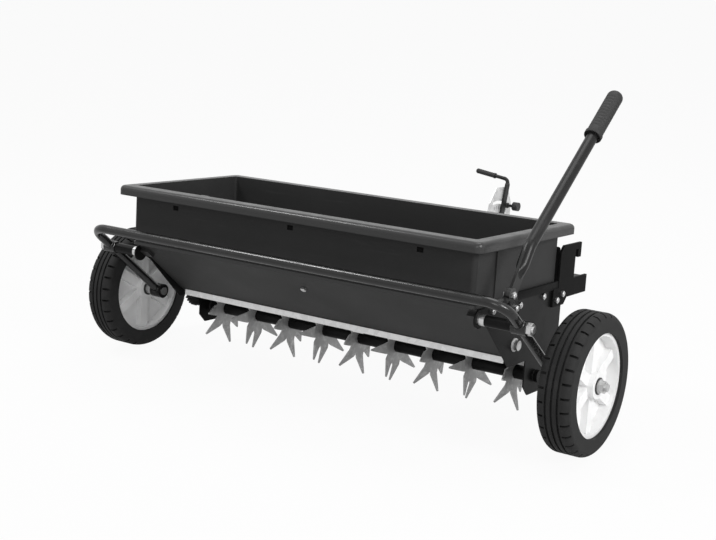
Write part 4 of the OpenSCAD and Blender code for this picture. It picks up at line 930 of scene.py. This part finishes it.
print("bolt shapes ready")

# %% [markdown]
# The bolts of the brackets' arms and flanges have no solid, so a hexagon with a
# chamfered top comes first.
# Each place is a point on the level drawing and the way that its head points.
# Most point out to the side; the one in the middle of the rear panel stands square on its slope.

# %% Heads and domes of the bolts
head_r, head_high = 7.5, 5.0
dome_r, dome_high = 5.6, 1.6
arm_bolt_x, arm_bolt_at = 476.2, (arm_rear + arm_high / 2, arm_mid[2])
flange_bolt_x, flange_bolt_z = (-453.0, 453.0), (338.0, 378.0)
bolt_sunk = 0.1
flange_face = flange_y + flange_thick / 2 + flange_raise - bolt_sunk
on_arms = [out_of_end(side * arm_bolt_x, *arm_bolt_at) for side in both_sides]
on_flange = turn(-90.0, "X")
on_flanges = [set_down @ move(x, flange_face, z) @ on_flange for x in flange_bolt_x for z in flange_bolt_z]
bare_bolts = on_arms + on_flanges
bare_heads = lay_out(
    hex_head("bracket_bolt_head", head_r, head_high),
    [("chassis", place) for place in bare_bolts],
    "zinc",
)
side_face, side_bolts = 476.0, [(-119.7, 294.3), (0.0, 290.2), (109.3, 294.3)]
bracket_face, bracket_bolts = 482.0, [(165.5, 279.0), (193.0, 290.0)]
lever_face, lever_bolts = 561.0, [(-184.5, 323.9), (-199.5, 352.1)]
panel_deg, panel_bolt = 141.67, (0.0, -135.2, 267.1)
places = [("chassis", out_of_end(side * side_face, *at)) for side in both_sides for at in side_bolts]
places += [("chassis", out_of_end(side * bracket_face, *at)) for side in both_sides for at in bracket_bolts]
places += [("wheel_frame", out_of_end(lever_face, *at)) for at in lever_bolts]
on_panel = set_down @ move(*panel_bolt) @ turn(panel_deg, "X")
places += [("chassis", place @ move(0.0, 0.0, head_high)) for place in [on_panel] + bare_bolts]
domes = lay_out(bolt_dome("bolt_dome", dome_r, dome_high), places, "zinc")
print("bolt heads:", len(bare_heads), "and domes:", len(domes))

# %% [markdown]
# Grips of this kind are dipped in soft vinyl: a sleeve with shallow rings, a thick
# lower lip and a domed end.
# Lathe work suits it, but a cylinder cut into rings is just as good and keeps its faces even.
# Every third ring is drawn in for a groove, the top edge is rounded over, and the
# bottom is hollowed for the tube.

# %% Shape of a grip
end_round_share, lip_out_share, lip_round_share = 0.75, 0.1, 0.12
lip_slope_share, first_ring_share, last_ring_share, hollow_share = 1.25, 2.2, 1.1, 2.0
bore_edge = 0.1


def grip(name, r, long, bore, lip, grooves, groove_depth):
    """A ringed sleeve from the origin along Z, open for the tube below and domed at its far end."""
    piece = rod(name, 48, r, long)
    pick(piece, "EDGE", lambda m: m.z > long - hair)
    bpy.ops.mesh.bevel(offset=end_round_share * r * mm, segments=7, affect="EDGES")
    first, last = first_ring_share * lip, long - last_ring_share * r
    step = (last - first) / (3 * grooves)
    for k in range(3 * grooves + 1):
        ring_cut(first + k * step)
    for z in (lip, lip_slope_share * lip):
        ring_cut(z)

    def in_groove(m):
        k = round((m.z - first) / step)
        return first < m.z < last and k % 3 == 1 and abs(m.z - first - k * step) < hair

    pick(piece, "VERT", in_groove)
    inward = (r - groove_depth) / r
    draw_in(inward, inward)
    pick(piece, "VERT", lambda m: m.z < lip + hair)
    outward = 1.0 + lip_out_share
    draw_in(outward, outward)
    pick(piece, "FACE", lambda m: m.z < hair)
    bpy.ops.mesh.inset(thickness=(outward * r - bore) * mm)
    bpy.ops.mesh.extrude_region_move(TRANSFORM_OT_translate={"value": (0.0, 0.0, hollow_share * lip * mm)})
    pick(piece, "EDGE", lambda m: m.z < hair and m.xy.length > bore + bore_edge)
    bpy.ops.mesh.bevel(offset=lip_round_share * r * mm, segments=2, affect="EDGES")
    return piece


print("grip shape ready")

# %% [markdown]
# The long lever leaves its two bolts steeply, bends once, and ends in the big grip.
# The bend is where two straight lines would meet, so the grip's end is one length up
# the first and one up the second.
# The grip rides with the wheel frame, because the lever is bolted to it.

# %% Grip of the lift lever
lever_foot = (546.0, -192.0, 338.0)
lower_deg, lower_long = 57.0, 123.0
upper_deg, upper_long = 39.9, 467.0
grip_r, grip_long = 18.0, 140.0
on_lever = set_down @ move(*lever_foot) @ turn(lower_deg - 90.0, "X")
past_bend = on_lever @ move(0.0, 0.0, lower_long) @ turn(upper_deg - lower_deg, "X")
big_grip = grip("lever_sleeve", grip_r, grip_long, bore=12.8, lip=9.0, grooves=11, groove_depth=1.1)
leave()
settle(big_grip, past_bend @ move(0.0, 0.0, upper_long - grip_long), "wheel_frame", "rubber")
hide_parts("lever_grip")
print("lever grip:", len(big_grip.data.polygons), "faces over", round(grip_long), "mm")

# %% [markdown]
# The lever's tube is pressed flat at its lower end, where it is bolted to the leg.
# The solid goes from round to flat in one step, and the real tube takes its time over
# the length of a thumb.
# So a cylinder is cut into rings, and each ring is pressed a little flatter and wider
# than the one above.

# %% Pressed end of the lever
press_from, press_to, press_rings = 46.0, 88.0, 10
tube_half, flat_half, flat_wide = 12.75, 2.6, 14.6
press_long = press_to - press_from
press_step = press_long / press_rings
press = rod("lever_pressing", 48, tube_half, press_long)
for k in range(1, press_rings):
    ring_cut(k * press_step)
for k in range(press_rings):
    share = k / (press_rings - 1)
    round_share = share * share * (3.0 - 2.0 * share)
    thinner = (flat_half + (tube_half - flat_half) * round_share) / tube_half
    wider = (flat_wide + (tube_half - flat_wide) * round_share) / tube_half
    pick(press, "VERT", lambda m: abs(m.z - k * press_step) < hair)
    draw_in(thinner, wider)
leave()
settle(press, on_lever @ move(0.0, 0.0, press_from), "wheel_frame", "frame_paint", lever_coat)
print("pressed end:", len(press.data.polygons), "faces over", round(press_long), "mm")

# %% [markdown]
# The flow lever is a flat bar that ends in a bent rod, and a smaller grip of the same
# family sits on the rod.
# The rod leans with the lever and then turns out to the left, so its place is a chain
# of moves and turns.
# The chain is the one the rod itself was drawn with, so the grip can't drift off it.

# %% Grip of the flow lever
flow_pivot, flow_x = (707.0, 273.84), 22.3
flow_lean, flow_thick = 14.0, 6.0
flow_stem, flow_bend = 196.0, 14.0
handle_long, handle_deg = 84.0, 8.0
solid_r, small_r, small_long = 8.5, 7.0, 63.1
along_handle = (
    set_down
    @ move(flow_x, *flow_pivot)
    @ turn(-flow_lean, "X")
    @ move(flow_thick / 2 - flow_bend, 0.0, flow_stem - flow_bend)
    @ turn(90.0, "X")
    @ turn(90.0 - handle_deg, "Z")
    @ move(flow_bend, 0.0, 0.0)
    @ turn(-90.0, "X")
)
small_grip = grip("flow_sleeve", small_r, small_long, bore=5.1, lip=4.0, grooves=8, groove_depth=0.6)
leave()
grip_foot = handle_long + solid_r - small_long
settle(small_grip, along_handle @ move(0.0, 0.0, grip_foot), "flow_lever", "rubber")
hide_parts("flow_grip")
print("flow grip:", len(small_grip.data.polygons), "faces over", round(small_long), "mm")

# %% [markdown]
# The plate under the flow lever has a scale, so that a setting can be found again.
# A picture of a scale can't be used, and raised marks are what a stamping tool leaves anyway.
# One mark is a cube with a bevelled top, a fifth of a millimetre proud, and it is
# turned round the lever's pivot.

# %% Scale of the flow plate
plate_face = 22.0
scale_r, scale_marks = 114.0, 7
scale_from, scale_to = 64.0, 98.0
mark_wide, mark_long, mark_proud, mark_round_share = 1.6, 9.0, 0.2, 0.6


def scale_mark(name):
    piece = block(name, 2 * mark_proud, mark_long, mark_wide)
    pick(piece, "EDGE", lambda m: m.x > mark_proud - hair)
    bpy.ops.mesh.bevel(offset=mark_round_share * mark_proud * mm, segments=2, affect="EDGES")
    return piece


scale_step = (scale_to - scale_from) / (scale_marks - 1)
on_plate = set_down @ move(plate_face, *flow_pivot)
turns = [turn(scale_from + k * scale_step, "X") for k in range(scale_marks)]
marks = lay_out(
    scale_mark("scale_mark"),
    [("chassis", on_plate @ turned_by @ move(0.0, scale_r, 0.0)) for turned_by in turns],
    "black_plastic",
)
print("scale marks:", len(marks), "every", round(scale_step, 1), "degrees")
